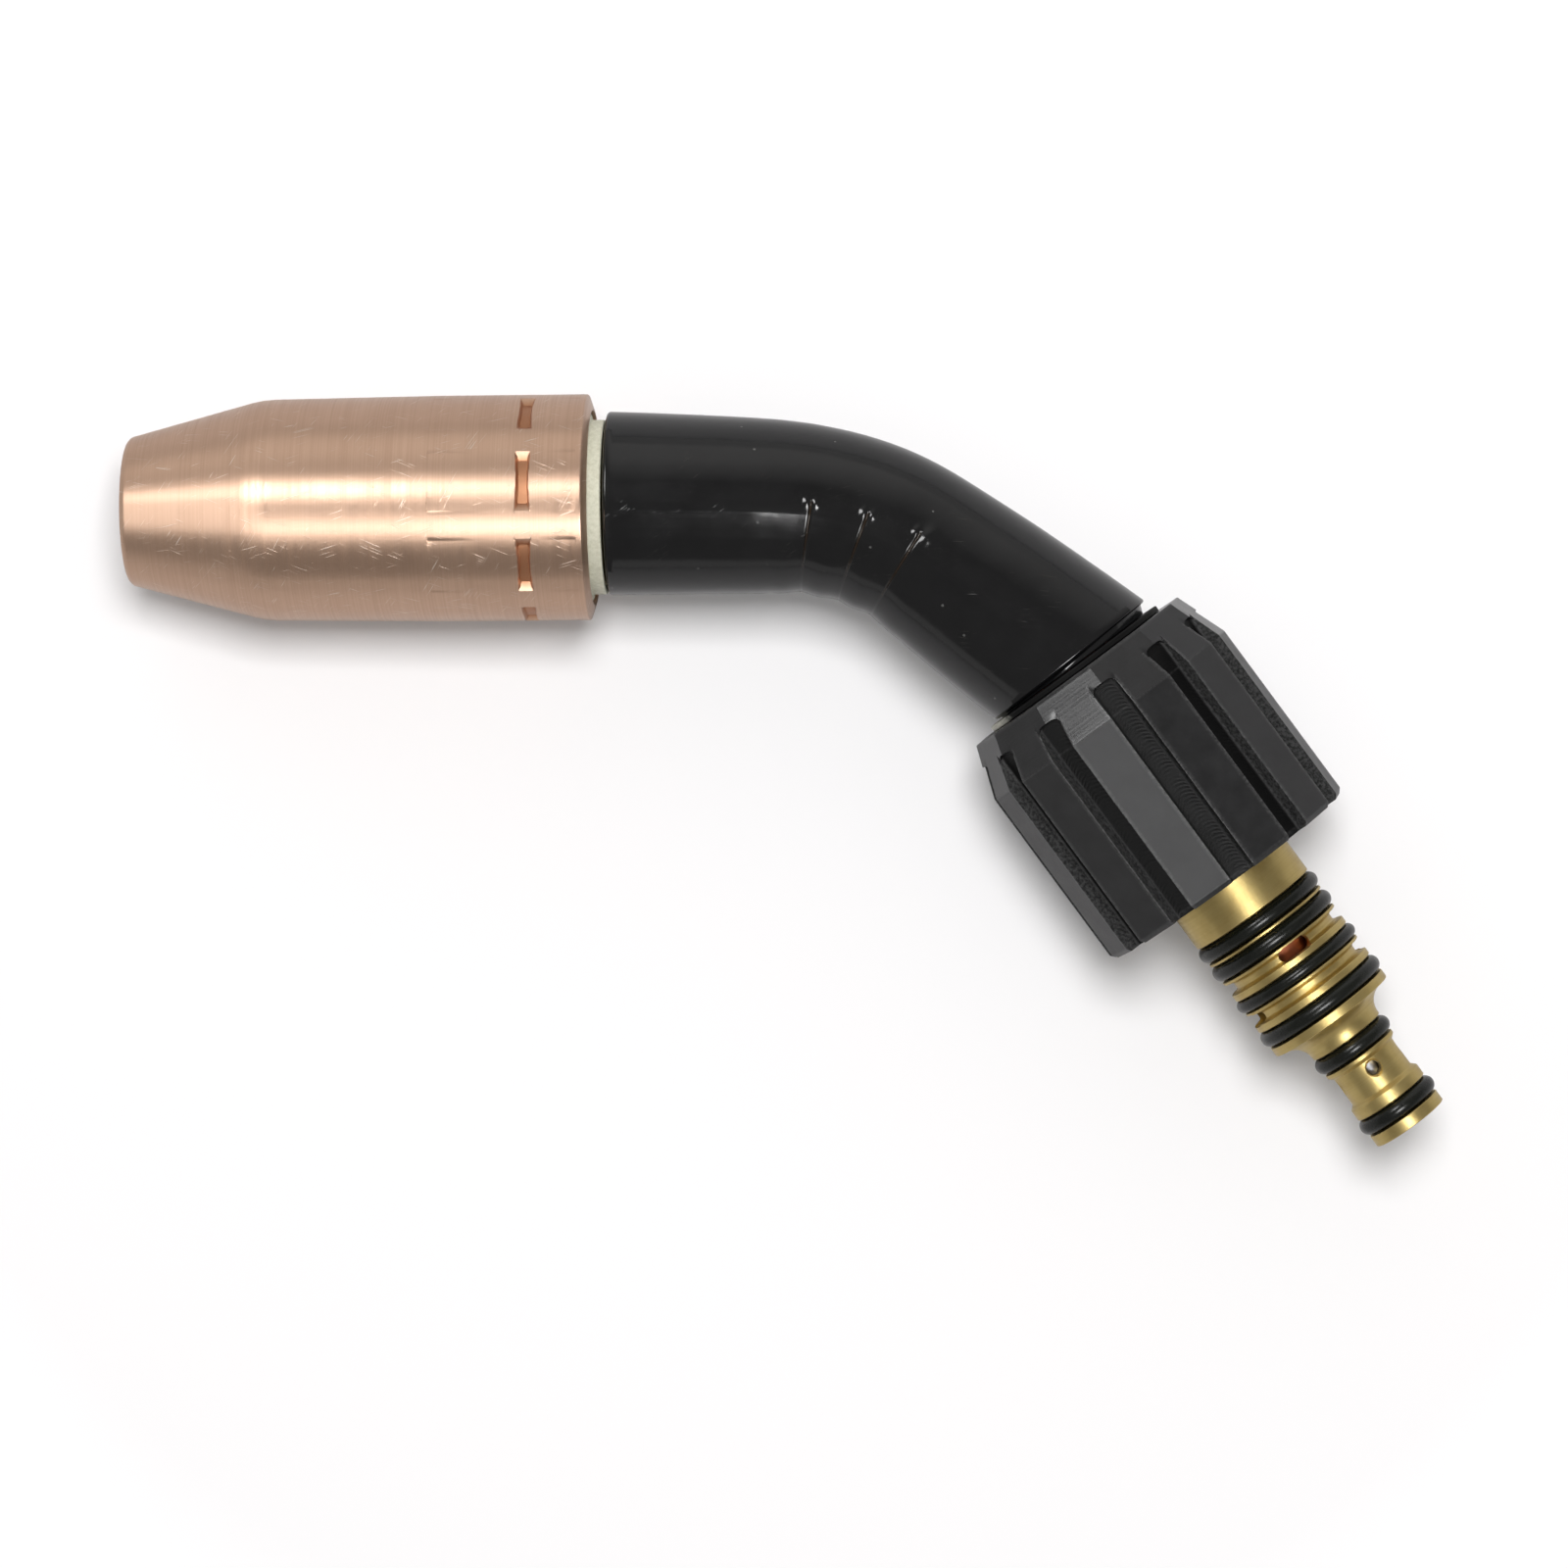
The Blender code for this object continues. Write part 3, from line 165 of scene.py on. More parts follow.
class PlugSettings(bpy.types.PropertyGroup):
    """Coupling plug, its seals and the tubes in it."""

    port_length: length("Port length", 0.0046, "Length of the water ports round the plug")
    port_width: length("Port width", 0.0019, "Width of the water ports")
    port_turn: turn("Port turn", 10.0, "Angle of the first water port from the top, towards the outer side")
    gas_port: length("Gas port", 0.0019, "Diameter of the gas ports in the nipple's neck")
    gas_port_sink: length("Gas port sink", 0.0025, "Diameter of their countersinks")
    gas_port_turn: turn("Gas port turn", 6.0, "Angle of the first gas port from the top, to the outer side")
    ring_section: length("Ring section", 0.0022, "Thickness of the O-rings")
    brass: shade("Brass", "#CDB77A", "Turned brass")
    rubber: shade("Seal rubber", "#0E100D", "Black nitrile rubber")
    tube: shade("Copper tube", "#B4674A", "Drawn and brazed copper tube")
    washer_steel: shade("Washer steel", "#D5D4C8", "Steel of the washer, shown on the inner side of the bend")
    steel: shade("Steel", "#A9A9AB", "Spring and liner steel")
    ceramic: shade("Ceramic", "#E0DBCF", "Unglazed ceramic")


class StageSettings(bpy.types.PropertyGroup):
    """Camera, lamps and floor."""

    camera_height: length("Camera height", 0.7115, "Camera above the floor")
    view_width: length("View width", 0.2014, "Width that the camera sees at the height of the neck's middle")
    centre_x: coordinate("Centre X", 0.0002, "View's centre along X")
    centre_y: coordinate("Centre Y", -0.0016, "View's centre along Y")
    roll: turn("Roll", -0.45, "Camera's turn about its own axis")
    floor: shade("Floor", "#F5F4F5", "Pale floor")
    reflected: shade("Reflected floor", "#CCCBCC", "Floor as reflections show it")


SETTINGS = {
    "neck_nozzle": NozzleSettings,
    "neck_sleeve": SleeveSettings,
    "neck_nut": NutSettings,
    "neck_plug": PlugSettings,
    "neck_stage": StageSettings,
}


# Outlines: closed lists of (z, r) points, along and out from the local Z axis


def cad_section(node, place, angle=0.0):
    """Corners of a turned CAD node, in order, from the column of its mesh at an angle about its axis."""
    mesh = frame["nodes"][node].data
    to_local = place.inverted()
    keys = {}
    for vert in mesh.vertices:
        x, y, z = to_local @ vert.co
        off_column = y * cos(angle) - x * sin(angle)
        if abs(off_column) < 0.00002 and x * cos(angle) + y * sin(angle) > 0:
            keys[vert.index] = (round(z, 5), round(abs(complex(x, y)), 5))
    links = {}
    for face in mesh.polygons:
        for a, b in zip(face.vertices, [*face.vertices[1:], face.vertices[0]]):
            if a in keys and b in keys and keys[a] != keys[b]:
                links.setdefault(keys[a], set()).add(keys[b])
                links.setdefault(keys[b], set()).add(keys[a])
    loop = [min(links)]
    here = max(links[loop[0]], key=lambda corner: corner[1])
    while here:
        loop.append(here)
        here = next((corner for corner in links[here] if corner not in loop), None)
    return loop


def limits(corners):
    """Front, rear, inner and outer limits of an outline."""
    z, r = zip(*corners)
    return min(z), max(z), min(r), max(r)


def rounded(corners, radius):
    """The outline with each corner turned to an arc; radius is a length or a function of the corner."""
    # A point this far beyond each end of an arc keeps the shading of the straight beside it flat
    hold = 0.00004
    points = [complex(*corner) for corner in corners]
    out = []
    for k, corner in enumerate(points):
        back, ahead = points[k - 1] - corner, points[(k + 1) % len(points)] - corner
        to_back, to_ahead = back / abs(back), ahead / abs(ahead)
        bend = phase(-to_ahead / to_back)
        if abs(bend) < radians(0.5):
            out.append(corner)
            continue
        size = radius(*corners[k]) if callable(radius) else radius
        reach = min(size * tan(abs(bend) / 2), 0.46 * abs(back), 0.46 * abs(ahead))
        inward = to_back + to_ahead
        centre = corner + inward / abs(inward) * reach / sin(abs(bend) / 2)
        spoke = corner + to_back * reach - centre
        steps = max(2, ceil(abs(bend) / radians(16)))
        if abs(back) / 2 > reach + 2 * hold:
            out.append(corner + to_back * (reach + hold))
        out += [centre + spoke * rect(1, bend * step / steps) for step in range(steps + 1)]
        if abs(ahead) / 2 > reach + 2 * hold:
            out.append(corner + to_ahead * (reach + hold))
    return [(point.real, point.imag) for point in out]


def with_stations(outline, stations, outside, shortest=0.0):
    """The outline with points at given stations, past a radius and on edges that are long enough."""
    apart = 0.00001
    out = []
    for (z, r), (nz, nr) in zip(outline, outline[1:] + outline[:1]):
        out.append((z, r))
        if min(r, nr) < outside or abs(nz - z) <= shortest:
            continue
        marks = sorted(mark for mark in stations if min(z, nz) + apart < mark < max(z, nz) - apart)
        for mark in marks if nz > z else reversed(marks):
            out.append((float(mark), r + (nr - r) * (mark - z) / (nz - z)))
    return out


def densified(outline, low, high, step, outside=0.0):
    """The outline with points a step apart between two stations."""
    return with_stations(outline, np.arange(low, high + step / 2, step), outside, step)


# Meshes


def to_world(points, place):
    matrix = np.array(place)
    return points @ matrix[:3, :3].T + matrix[:3, 3]


def round_axis(r, turns, z):
    """Points by their distance from the local Z axis, their angle and their station."""
    return np.stack(np.broadcast_arrays(r * np.cos(turns), r * np.sin(turns), z), axis=-1)


def new_object(name, data):
    thing = bpy.data.objects.new(name, data)
    bpy.context.scene.collection.objects.link(thing)
    return thing


def finish_piece(name, mesh, material, body, node, sharp=30.0):
    """An object at the origin with one material, shaded smooth up to an angle, in place of a CAD node."""
    mesh.name = name
    mesh.shade_smooth()
    mesh.set_sharp_from_angle(angle=radians(sharp))
    mesh.materials.clear()
    mesh.materials.append(material)
    piece = new_object(name, mesh)
    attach(piece, body)
    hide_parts(node)


def outward(mesh):
    """Turn the faces outwards if the closed mesh is inside out."""
    form = bmesh.new()
    form.from_mesh(mesh)
    if form.calc_volume(signed=True) < 0:
        bmesh.ops.reverse_faces(form, faces=form.faces)
    form.to_mesh(mesh)
    form.free()
    return mesh


def closed_grid(points, across, along, **marks):
    """A mesh over a grid of points that closes on itself both ways, with its UV map and point attributes.

    points is (rows, columns, 3). across and along hold the UV values in millimetres, one more each way.
    """
    rows, columns = points.shape[:2]
    index = np.arange(rows * columns).reshape(rows, columns)
    down = np.roll(index, -1, axis=0)
    quads = np.stack([index, np.roll(index, -1, axis=1), np.roll(down, -1, axis=1), down], axis=-1)
    mesh = bpy.data.meshes.new("grid")
    mesh.from_pydata(points.reshape(-1, 3).tolist(), [], quads.reshape(-1, 4).tolist())
    uv = np.stack(np.meshgrid(across, along), axis=-1)
    corners = np.stack([uv[:-1, :-1], uv[:-1, 1:], uv[1:, 1:], uv[1:, :-1]], axis=2)
    layer = mesh.uv_layers.new(name="surface")
    layer.data.foreach_set("uv", corners.reshape(-1).astype(np.float32))
    for key, values in marks.items():
        attribute = mesh.attributes.new(key, "FLOAT", "POINT")
        attribute.data.foreach_set("value", np.asarray(values, dtype=np.float32).reshape(-1))
    return outward(mesh)


def along_outline(outline):
    """Distance along a closed outline at each of its points and back at the first, in millimetres."""
    ring = np.array(outline + outline[:1])
    steps = np.hypot(*np.diff(ring, axis=0).T)
    return np.concatenate([[0.0], np.cumsum(steps)]) / MM


def turned_mesh(outline, place, columns):
    """A closed outline turned about the local Z axis."""
    z, r = np.array(outline).T[:, :, None]
    turns = 2 * pi * np.arange(columns) / columns
    across = 2 * pi * np.arange(columns + 1) / columns * np.max(r) / MM
    return closed_grid(to_world(round_axis(r, turns, z), place), across, along_outline(outline))


def lofted(rings):
    """A closed mesh through rings of points, with its two ends filled."""
    form = bmesh.new()
    rings = [[form.verts.new(point) for point in ring] for ring in rings]
    for before, after in zip(rings, rings[1:]):
        for side in zip(before, before[1:] + before[:1], after[1:] + after[:1], after):
            form.faces.new(side)
    form.faces.new(rings[0])
    form.faces.new(rings[-1])
    bmesh.ops.recalc_face_normals(form, faces=form.faces)
    mesh = bpy.data.meshes.new("loft")
    form.to_mesh(mesh)
    form.free()
    return mesh


def plain_mesh(holder, *helpers):
    """The mesh that an object's modifiers leave; the object and its helpers are removed."""
    depsgraph = bpy.context.evaluated_depsgraph_get()
    mesh = bpy.data.meshes.new_from_object(holder.evaluated_get(depsgraph))
    for used in (holder, *helpers):
        bpy.data.objects.remove(used, do_unlink=True)
    return mesh


def cut_with(mesh, cutters):
    """The mesh with each cutter taken out of it."""
    body = new_object("body", mesh)
    holders = [new_object("cutter", cutter) for cutter in cutters]
    for holder in holders:
        boolean = body.modifiers.new("cut", "BOOLEAN")
        boolean.operation = "DIFFERENCE"
        boolean.solver = "EXACT"
        boolean.object = holder
    return plain_mesh(body, *holders)


# Node trees

MATH, RANGE = "ShaderNodeMath", "ShaderNodeMapRange"
NOISE, MAPPING = "ShaderNodeTexNoise", "ShaderNodeMapping"
CIRCLE, SWEEP = "GeometryNodeCurvePrimitiveCircle", "GeometryNodeCurveToMesh"


def add_node(tree, kind, *inputs, out=None, **named):
    """Adds a node and returns its output, the first unless it's named.

    Inputs come in the order that the node shows them, as sockets or values, with a colour in hex. Of the
    named ones, those with a capital are inputs too, with underscores for spaces; the others are settings.
    """
    node = tree.nodes.new(kind)
    for key in [key for key in named if key.islower()]:
        setattr(node, key, named.pop(key))
    pairs = list(zip([socket for socket in node.inputs if socket.enabled], inputs))
    for socket, value in pairs + [(node.inputs[key.replace("_", " ")], named[key]) for key in named]:
        if isinstance(value, bpy.types.NodeSocket):
            tree.links.new(value, socket)
        elif value is not None:
            socket.default_value = linear(value) if isinstance(value, str) else value
    return node.outputs[out] if out else next((socket for socket in node.outputs if socket.enabled), None)


def geometry_tree(name, sizes):
    """A new geometry node tree with named inputs, the function that adds its nodes, and its inputs."""
    tree = bpy.data.node_groups.new(name, "GeometryNodeTree")
    new_socket = tree.interface.new_socket
    new_socket(name="Geometry", in_out="OUTPUT", socket_type="NodeSocketGeometry")
    new_socket(name="Geometry", in_out="INPUT", socket_type="NodeSocketGeometry")
    for key, default in sizes.items():
        kind = "NodeSocketInt" if isinstance(default, int) else "NodeSocketFloat"
        new_socket(name=key, in_out="INPUT", socket_type=kind).default_value = default
    new_socket(name="Finish", in_out="INPUT", socket_type="NodeSocketMaterial")
    return tree, partial(add_node, tree), tree.nodes.new("NodeGroupInput").outputs


def ended(tree, inputs, geometry):
    """Ends a tree in Realize Instances and Set Material."""
    real = add_node(tree, "GeometryNodeRealizeInstances", geometry)
    painted = add_node(tree, "GeometryNodeSetMaterial", real, Material=inputs["Finish"])
    add_node(tree, "NodeGroupOutput", painted)
    return tree


@cache
def copies_tree():
    """Copies of a mesh round the local Z axis."""
    tree, add, inputs = geometry_tree("copies_round_axis", {"Count": 4, "First Angle": 0.0})
    points = add("GeometryNodePoints", inputs["Count"])
    pitch = add(MATH, 2 * pi, inputs["Count"], operation="DIVIDE")
    angle = add(MATH, add("GeometryNodeInputIndex"), pitch, inputs["First Angle"], operation="MULTIPLY_ADD")
    rotation = add("ShaderNodeCombineXYZ", Z=angle)
    copies = add("GeometryNodeInstanceOnPoints", points, Instance=inputs["Geometry"], Rotation=rotation)
    return ended(tree, inputs, copies)


@cache
def ring_tree():
    """A ring of round section about the local Z axis, whole or with an opening."""
    sizes = {"Outer Diameter": 0.0183, "Section": 0.0022, "Height": 0.0, "Opening": 0.0}
    tree, add, inputs = geometry_tree("round_section_ring", {**sizes, "Steps": 128, "Section Steps": 24})
    opening, steps = inputs["Opening"], inputs["Steps"]
    middle = add(MATH, inputs["Outer Diameter"], inputs["Section"], operation="SUBTRACT")
    radius = add(MATH, middle, 2.0, operation="DIVIDE")
    half_open = add(MATH, opening, 2.0, operation="DIVIDE")
    sweep = add(MATH, 2 * pi, opening, operation="SUBTRACT")
    split_ring = add("GeometryNodeCurveArc", steps, radius, half_open, sweep)
    is_split = add("FunctionNodeCompare", opening, 0.0001, operation="GREATER_THAN")
    guide = add("GeometryNodeSwitch", is_split, add(CIRCLE, steps, radius), split_ring, input_type="GEOMETRY")
    half = add(MATH, inputs["Section"], 2.0, operation="DIVIDE")
    body = add(SWEEP, guide, add(CIRCLE, inputs["Section Steps"], half), Fill_Caps=True)
    lift = add("ShaderNodeCombineXYZ", Z=inputs["Height"])
    return ended(tree, inputs, add("GeometryNodeTransform", body, Translation=lift))


@cache
def tube_tree():
    """A tube of round section along a curve."""
    tree, add, inputs = geometry_tree("tube_along_path", {"Diameter": 0.010, "Sides": 40})
    half = add(MATH, inputs["Diameter"], 2.0, operation="DIVIDE")
    return ended(tree, inputs, add(SWEEP, inputs["Geometry"], add(CIRCLE, inputs["Sides"], half)))


def shaped(data, tree, values, wall=0.0):
    """A plain mesh of what a node tree makes of its named inputs; wall thickens an open surface inwards."""
    holder = new_object("holder", data)
    modifier = holder.modifiers.new("shape", "NODES")
    modifier.node_group = tree
    for item in tree.interface.items_tree:
        if item.in_out == "INPUT" and item.name in values:
            modifier[item.identifier] = values[item.name]
    if wall:
        shell = holder.modifiers.new("wall", "SOLIDIFY")
        shell.thickness = wall
        shell.offset = -1.0
    return outward(plain_mesh(holder))


# Materials; a pattern's scale is in grains, rings or streaks a millimetre


def linear(hex_colour):
    """Linear RGBA of an sRGB hex colour."""
    values = [int(hex_colour[k : k + 2], 16) / 255 for k in (1, 3, 5)]
    return [v / 12.92 if v <= 0.04045 else ((v + 0.055) / 1.055) ** 2.4 for v in values] + [1.0]


def new_material(name):
    """A material with an empty tree, and the function that adds its nodes."""
    material = bpy.data.materials.new(name)
    material.use_nodes = True
    material.node_tree.nodes.clear()
    return material, partial(add_node, material.node_tree)


def with_shader(material, **sockets):
    """The material with its shader, whose sockets are named."""
    shader = add_node(material.node_tree, "ShaderNodeBsdfPrincipled", **sockets)
    add_node(material.node_tree, "ShaderNodeOutputMaterial", shader)
    return material


def own_space(add, place=Matrix()):
    """Object coordinates in millimetres, turned to a piece's own space."""
    inverse = place.inverted()
    coords = add("ShaderNodeTexCoord", out="Object")
    local = add(MAPPING, coords, inverse.translation, inverse.to_3x3().to_euler())
    return add("ShaderNodeVectorMath", local, 1 / MM, operation="SCALE")


def layered(add, colour, *layers):
    """A colour under layers of others, each with its mask and how much of it the mask lets through."""
    for mask, most, over in layers:
        factor = add(MATH, mask, most, operation="MULTIPLY")
        colour = add("ShaderNodeMix", factor, colour, over, data_type="RGBA")
    return colour


def relief(add, *layers):
    """A normal over layers of relief, each with its height, strength and depth in metres."""
    normal = None
    for height, strength, depth in layers:
        normal = add("ShaderNodeBump", Height=height, Strength=strength, Distance=depth, Normal=normal)
    return normal


def scratched(add, angle, stretch, sharp, patch, edges, patch_turn=0.0):
    """Scratches at an angle over the surface, kept to patches of it.

    sharp and edges are the values of their noises where the scratches and the patches start and are full.
    """
    surface = add("ShaderNodeUVMap", uv_map="surface")
    turned_to = add(MAPPING, surface, Rotation=(0, 0, angle))
    lines = add(NOISE, add(MAPPING, turned_to, Scale=stretch), 1.0, 1.0)
    patches = add(NOISE, add(MAPPING, surface, Rotation=(0, 0, patch_turn)), patch, 1.0)
    return add(MATH, add(RANGE, lines, *sharp), add(RANGE, patches, *edges), operation="MULTIPLY")


@cache
def brushed_copper():
    """Copper brushed while it turned: fine rings spread each highlight along the nozzle, and handling
    left short random scratches."""
    cfg = bpy.context.scene.neck_nozzle
    material, add = new_material("brushed_bare_copper")
    space = own_space(add, NOZZLE_PLACE)
    # Rings of 0.1 to 0.3 mm; the abrasive's own, of some 0.03 mm, would be too fine to show
    rings = add(NOISE, add(MAPPING, space, Scale=(0.02, 0.02, 4.5)), 1.0, 1.5, 0.5)
    coarse = add(NOISE, add(MAPPING, space, Scale=(0.09, 0.09, 1.4)), 1.0, 2.0, 0.6)
    patches = add(NOISE, space, 0.11, 3.0, 0.6)
    scratches = 0.0
    for number, (angle, fine) in enumerate(((0.5, 5.0), (-1.15, 5.6), (1.25, 5.2))):
        lines = scratched(add, angle, (0.16, fine, 1.0), (0.66, 0.72), 0.35, (0.52, 0.64), number)
        scratches = add(MATH, lines, scratches, operation="MAXIMUM")
    pressed = add("ShaderNodeAttribute", attribute_name="pressed", out="Fac")
    coarse_rough = add(RANGE, coarse, 0.3, 0.7, -0.015, 0.03)
    rough = add(MATH, add(RANGE, rings, 0.25, 0.75, 0.30, 0.39), coarse_rough, operation="ADD")
    rough = add(MATH, scratches, 0.18, rough, operation="MULTIPLY_ADD")
    rough = add(MATH, pressed, 0.15, rough, operation="MULTIPLY_ADD")
    height = add(MATH, coarse, 0.4, rings, operation="MULTIPLY_ADD")
    return with_shader(
        material, Metallic=1.0, Roughness=rough, Anisotropic=0.7, Anisotropic_Rotation=0.25,
        Tangent=add("ShaderNodeTangent", direction_type="UV_MAP", uv_map="surface"),
        Base_Color=layered(
            add, cfg.copper, (add(RANGE, patches, 0.35, 0.7), 0.25, "#BF9C85"),
            (add(RANGE, rings, 0.3, 0.75), 0.22, "#AD8468"), (scratches, 0.6, "#F8ECDF"),
            # Painted shade: the pockets are painted darker and redder than the shell
            (pressed, 1.0, cfg.pressed),
        ),
        Normal=relief(add, (height, 0.035, 0.00006), (scratches, 0.35, 0.00003)),
    )


@cache
def cream_insulator():
    """Glass-filled moulding: flat cream with faint grey fibres and soft pits."""
    cfg = bpy.context.scene.neck_nozzle
    material, add = new_material("cream_glass_filled_plastic")
    space = own_space(add, NOZZLE_PLACE)
    mottle = add(NOISE, space, 1.6, 4.0, 0.65)
    fibres = add(NOISE, add(MAPPING, space, Scale=(1.0, 1.0, 3.0)), 2.4, 2.0, 0.6)
    return with_shader(
        material, Roughness=0.55, Normal=relief(add, (mottle, 0.25, 0.0001)),
        Base_Color=layered(
            add, cfg.cream, (add(RANGE, mottle, 0.35, 0.7), 1.0, "#C4C3AD"),
            (add(RANGE, fibres, 0.6, 0.75), 0.5, "#E4E3D3"),
        ),
    )


@cache
def glossy_sleeve():
    """Extruded polymer sleeve: near-mirror black with drawn streaks, dust and hair scratches."""
    cfg = bpy.context.scene.neck_sleeve
    material, add = new_material("glossy_black_sleeve")
    space = own_space(add)
    surface = add("ShaderNodeUVMap", uv_map="surface")
    smear = add(NOISE, space, 0.16, 4.0, 0.6)
    streaks = add(NOISE, add(MAPPING, surface, Scale=(2.2, 0.09, 1.0)), 1.0, 3.0, 0.6)
    dust = add(RANGE, add("ShaderNodeTexVoronoi", space, 0.28), 0.035, 0.06, 1.0, 0.0)
    hairs = scratched(add, 0.9, (0.3, 9.0, 1.0), (0.68, 0.73), 0.22, (0.55, 0.65))
    grime = add("ShaderNodeAttribute", attribute_name="grime", out="Fac")
    streaky = add(RANGE, streaks, 0.4, 0.7, 0.0, 0.03)
    return with_shader(
        material, Specular_IOR_Level=0.5,
        Roughness=add(MATH, add(RANGE, smear, 0.3, 0.75, 0.09, 0.16), streaky, operation="ADD"),
        Base_Color=layered(
            add, cfg.black, (add(RANGE, smear, 0.35, 0.7), 1.0, "#111112"), (dust, 0.35, "#8A8A88"),
            (hairs, 0.25, "#55524C"), (grime, 0.85, "#33261A"),
        ),
        Normal=relief(add, (add(NOISE, space, 0.22, 2.0, 0.5), 0.12, 0.0004), (hairs, 0.2, 0.00003)),
    )


@cache
def matt_nut_plastic():
    """Glass-filled nylon, turned and milled: dull black, rings on the cone, cutter marks in the flutes
    and paler rubbed edges."""
    cfg = bpy.context.scene.neck_nut
    material, add = new_material("matt_black_glass_filled_nylon")
    space = own_space(add)
    surface = add("ShaderNodeUVMap", uv_map="surface")
    across, along = (add("ShaderNodeSeparateXYZ", surface, out=axis) for axis in "XY")
    cut, edge = (add("ShaderNodeAttribute", attribute_name=key, out="Fac") for key in ("cut", "edge"))
    grain = add(NOISE, space, 2.6, 4.0, 0.7)
    cloud = add(NOISE, space, 0.3, 3.0, 0.6)
    worn = add(MATH, edge, add(RANGE, grain, 0.4, 0.6, 0.2, 1.0), operation="MULTIPLY")
    cone = cfg.cone_length / MM
    smooth = add(RANGE, cut, 0.0, 1.0, add(RANGE, along, cone - 0.2, cone + 0.2, 0.17, 0.0), -0.15)
    fine_rough = add(RANGE, grain, 0.3, 0.7, -0.02, 0.02)
    rough = add(MATH, add(RANGE, cloud, 0.3, 0.7, 0.33, 0.40), fine_rough, operation="ADD")
    # Arcs that the milling cutter left along each flute's floor
    arc_pitch, half_flute = 0.55, cfg.flute_width / 2 / MM
    bow = add(MATH, add(MATH, across, across, operation="MULTIPLY"), 0.35, operation="MULTIPLY")
    arcs = add(MATH, add(MATH, along, bow, operation="SUBTRACT"), 2 * pi / arc_pitch, operation="MULTIPLY")
    chatter = add(MATH, arcs, operation="SINE")
    off_middle = add(MATH, across, operation="ABSOLUTE")
    for mask in (
        add(RANGE, off_middle, 0.65 * half_flute, 0.8 * half_flute, 1.0, 0.0), cut,
        add(RANGE, cloud, 0.38, 0.55), add(RANGE, grain, 0.38, 0.6, 0.15, 1.0),
    ):
        chatter = add(MATH, chatter, mask, operation="MULTIPLY")
    rings = add(NOISE, add(MAPPING, surface, Scale=(0.02, 3.0, 1.0)), 1.0, 2.0)
    ringed = add(MATH, rings, add(RANGE, along, cone - 0.4, cone + 0.4, 1.0, 0.12), operation="MULTIPLY")
    pitted = add(MATH, grain, add(RANGE, along, cone - 0.4, cone + 0.4, 0.05, 1.0), operation="MULTIPLY")
    pitted = add(MATH, pitted, add(RANGE, cut, 0.0, 1.0, 1.0, 0.3), operation="MULTIPLY")
    return with_shader(
        material, Roughness=add(MATH, rough, smooth, operation="SUBTRACT"),
        Specular_IOR_Level=add(RANGE, cut, 0.0, 1.0, 0.5, 0.20),
        Base_Color=layered(
            add, cfg.black, (add(RANGE, cloud, 0.3, 0.7), 1.0, "#1E1E1F"),
            # Painted shade: the flutes' floors and walls are painted near black
            (add(RANGE, grain, 0.62, 0.8), 0.5, "#2C2C2C"), (cut, 1.0, "#060606"), (worn, 0.6, "#5A5A5A"),
        ),
        Normal=relief(add, (pitted, 0.12, 0.00008), (chatter, 0.50, 0.00006), (ringed, 0.12, 0.00006)),
    )


@cache
def turned_brass(name="turned_brass"):
    """Free-cutting brass from a lathe: bright yellow, fine tool rings and a little brown handling."""
    cfg = bpy.context.scene.neck_plug
    material, add = new_material(name)
    space = own_space(add, NOZZLE_PLACE if name == HEAD_BRASS else PLUG_PLACE)
    rings = add(NOISE, add(MAPPING, space, Scale=(0.05, 0.05, 6.0)), 1.0, 3.0, 0.6)
    stain = add(NOISE, space, 0.35, 4.0, 0.65)
    return with_shader(
        material, Metallic=1.0, Anisotropic=0.4, Anisotropic_Rotation=0.25,
        Tangent=add("ShaderNodeTangent", direction_type="UV_MAP", uv_map="surface"),
        Roughness=add(RANGE, rings, 0.25, 0.75, 0.32, 0.46),
        Base_Color=layered(
            add, cfg.brass, (add(RANGE, stain, 0.45, 0.75), 0.6, "#B69C60"),
            (add(RANGE, rings, 0.35, 0.75), 0.2, "#A48A50"),
        ),
        Normal=relief(add, (rings, 0.12, 0.00005), (stain, 0.1, 0.0003)),
    )


# Brass turned about the nozzle's axis, where the other is turned about the plug's
HEAD_BRASS = "turned_brass_head"


def simple_finish(name, colour, other, scale, rough, bump, **sockets):
    """A finish with two shades, an uneven gloss and a fine grain."""
    material, add = new_material(name)
    space = own_space(add)
    grain = add(NOISE, space, scale, 4.0, 0.6)
    cloud = add(NOISE, space, scale / 6, 3.0, 0.6)
    return with_shader(
        material, Base_Color=layered(add, colour, (add(RANGE, cloud, 0.35, 0.7), 1.0, other)),
        Roughness=add(RANGE, grain, 0.3, 0.7, *rough), Normal=relief(add, (grain, bump, 0.00006)), **sockets,
    )


@cache
def seal_rubber():
    """Nitrile rubber, moulded and greased: soft sheen, faintly green black."""
    colour = bpy.context.scene.neck_plug.rubber
    return simple_finish(
        "greased_nitrile_rubber", colour, "#12140F", 1.8, (0.20, 0.30), 0.05, Specular_IOR_Level=0.35
    )


@cache
def brazed_copper_tube():
    """Drawn copper tube after brazing: dull dark red."""
    colour = bpy.context.scene.neck_plug.tube
    return simple_finish("brazed_copper_tube", colour, "#945A46", 1.2, (0.40, 0.55), 0.15, Metallic=1.0)


@cache
def turned_copper_tip():
    """Copper chromium rod, turned: redder than the brushed shell."""
    return simple_finish("turned_copper_tip", "#F0B394", "#D18D68", 2.0, (0.25, 0.4), 0.15, Metallic=1.0)


@cache
def spring_steel():
    """Drawn spring steel: grey with drawn marks."""
    colour = bpy.context.scene.neck_plug.steel
    return simple_finish("drawn_spring_steel", colour, "#8B8B8E", 2.5, (0.3, 0.45), 0.2, Metallic=1.0)


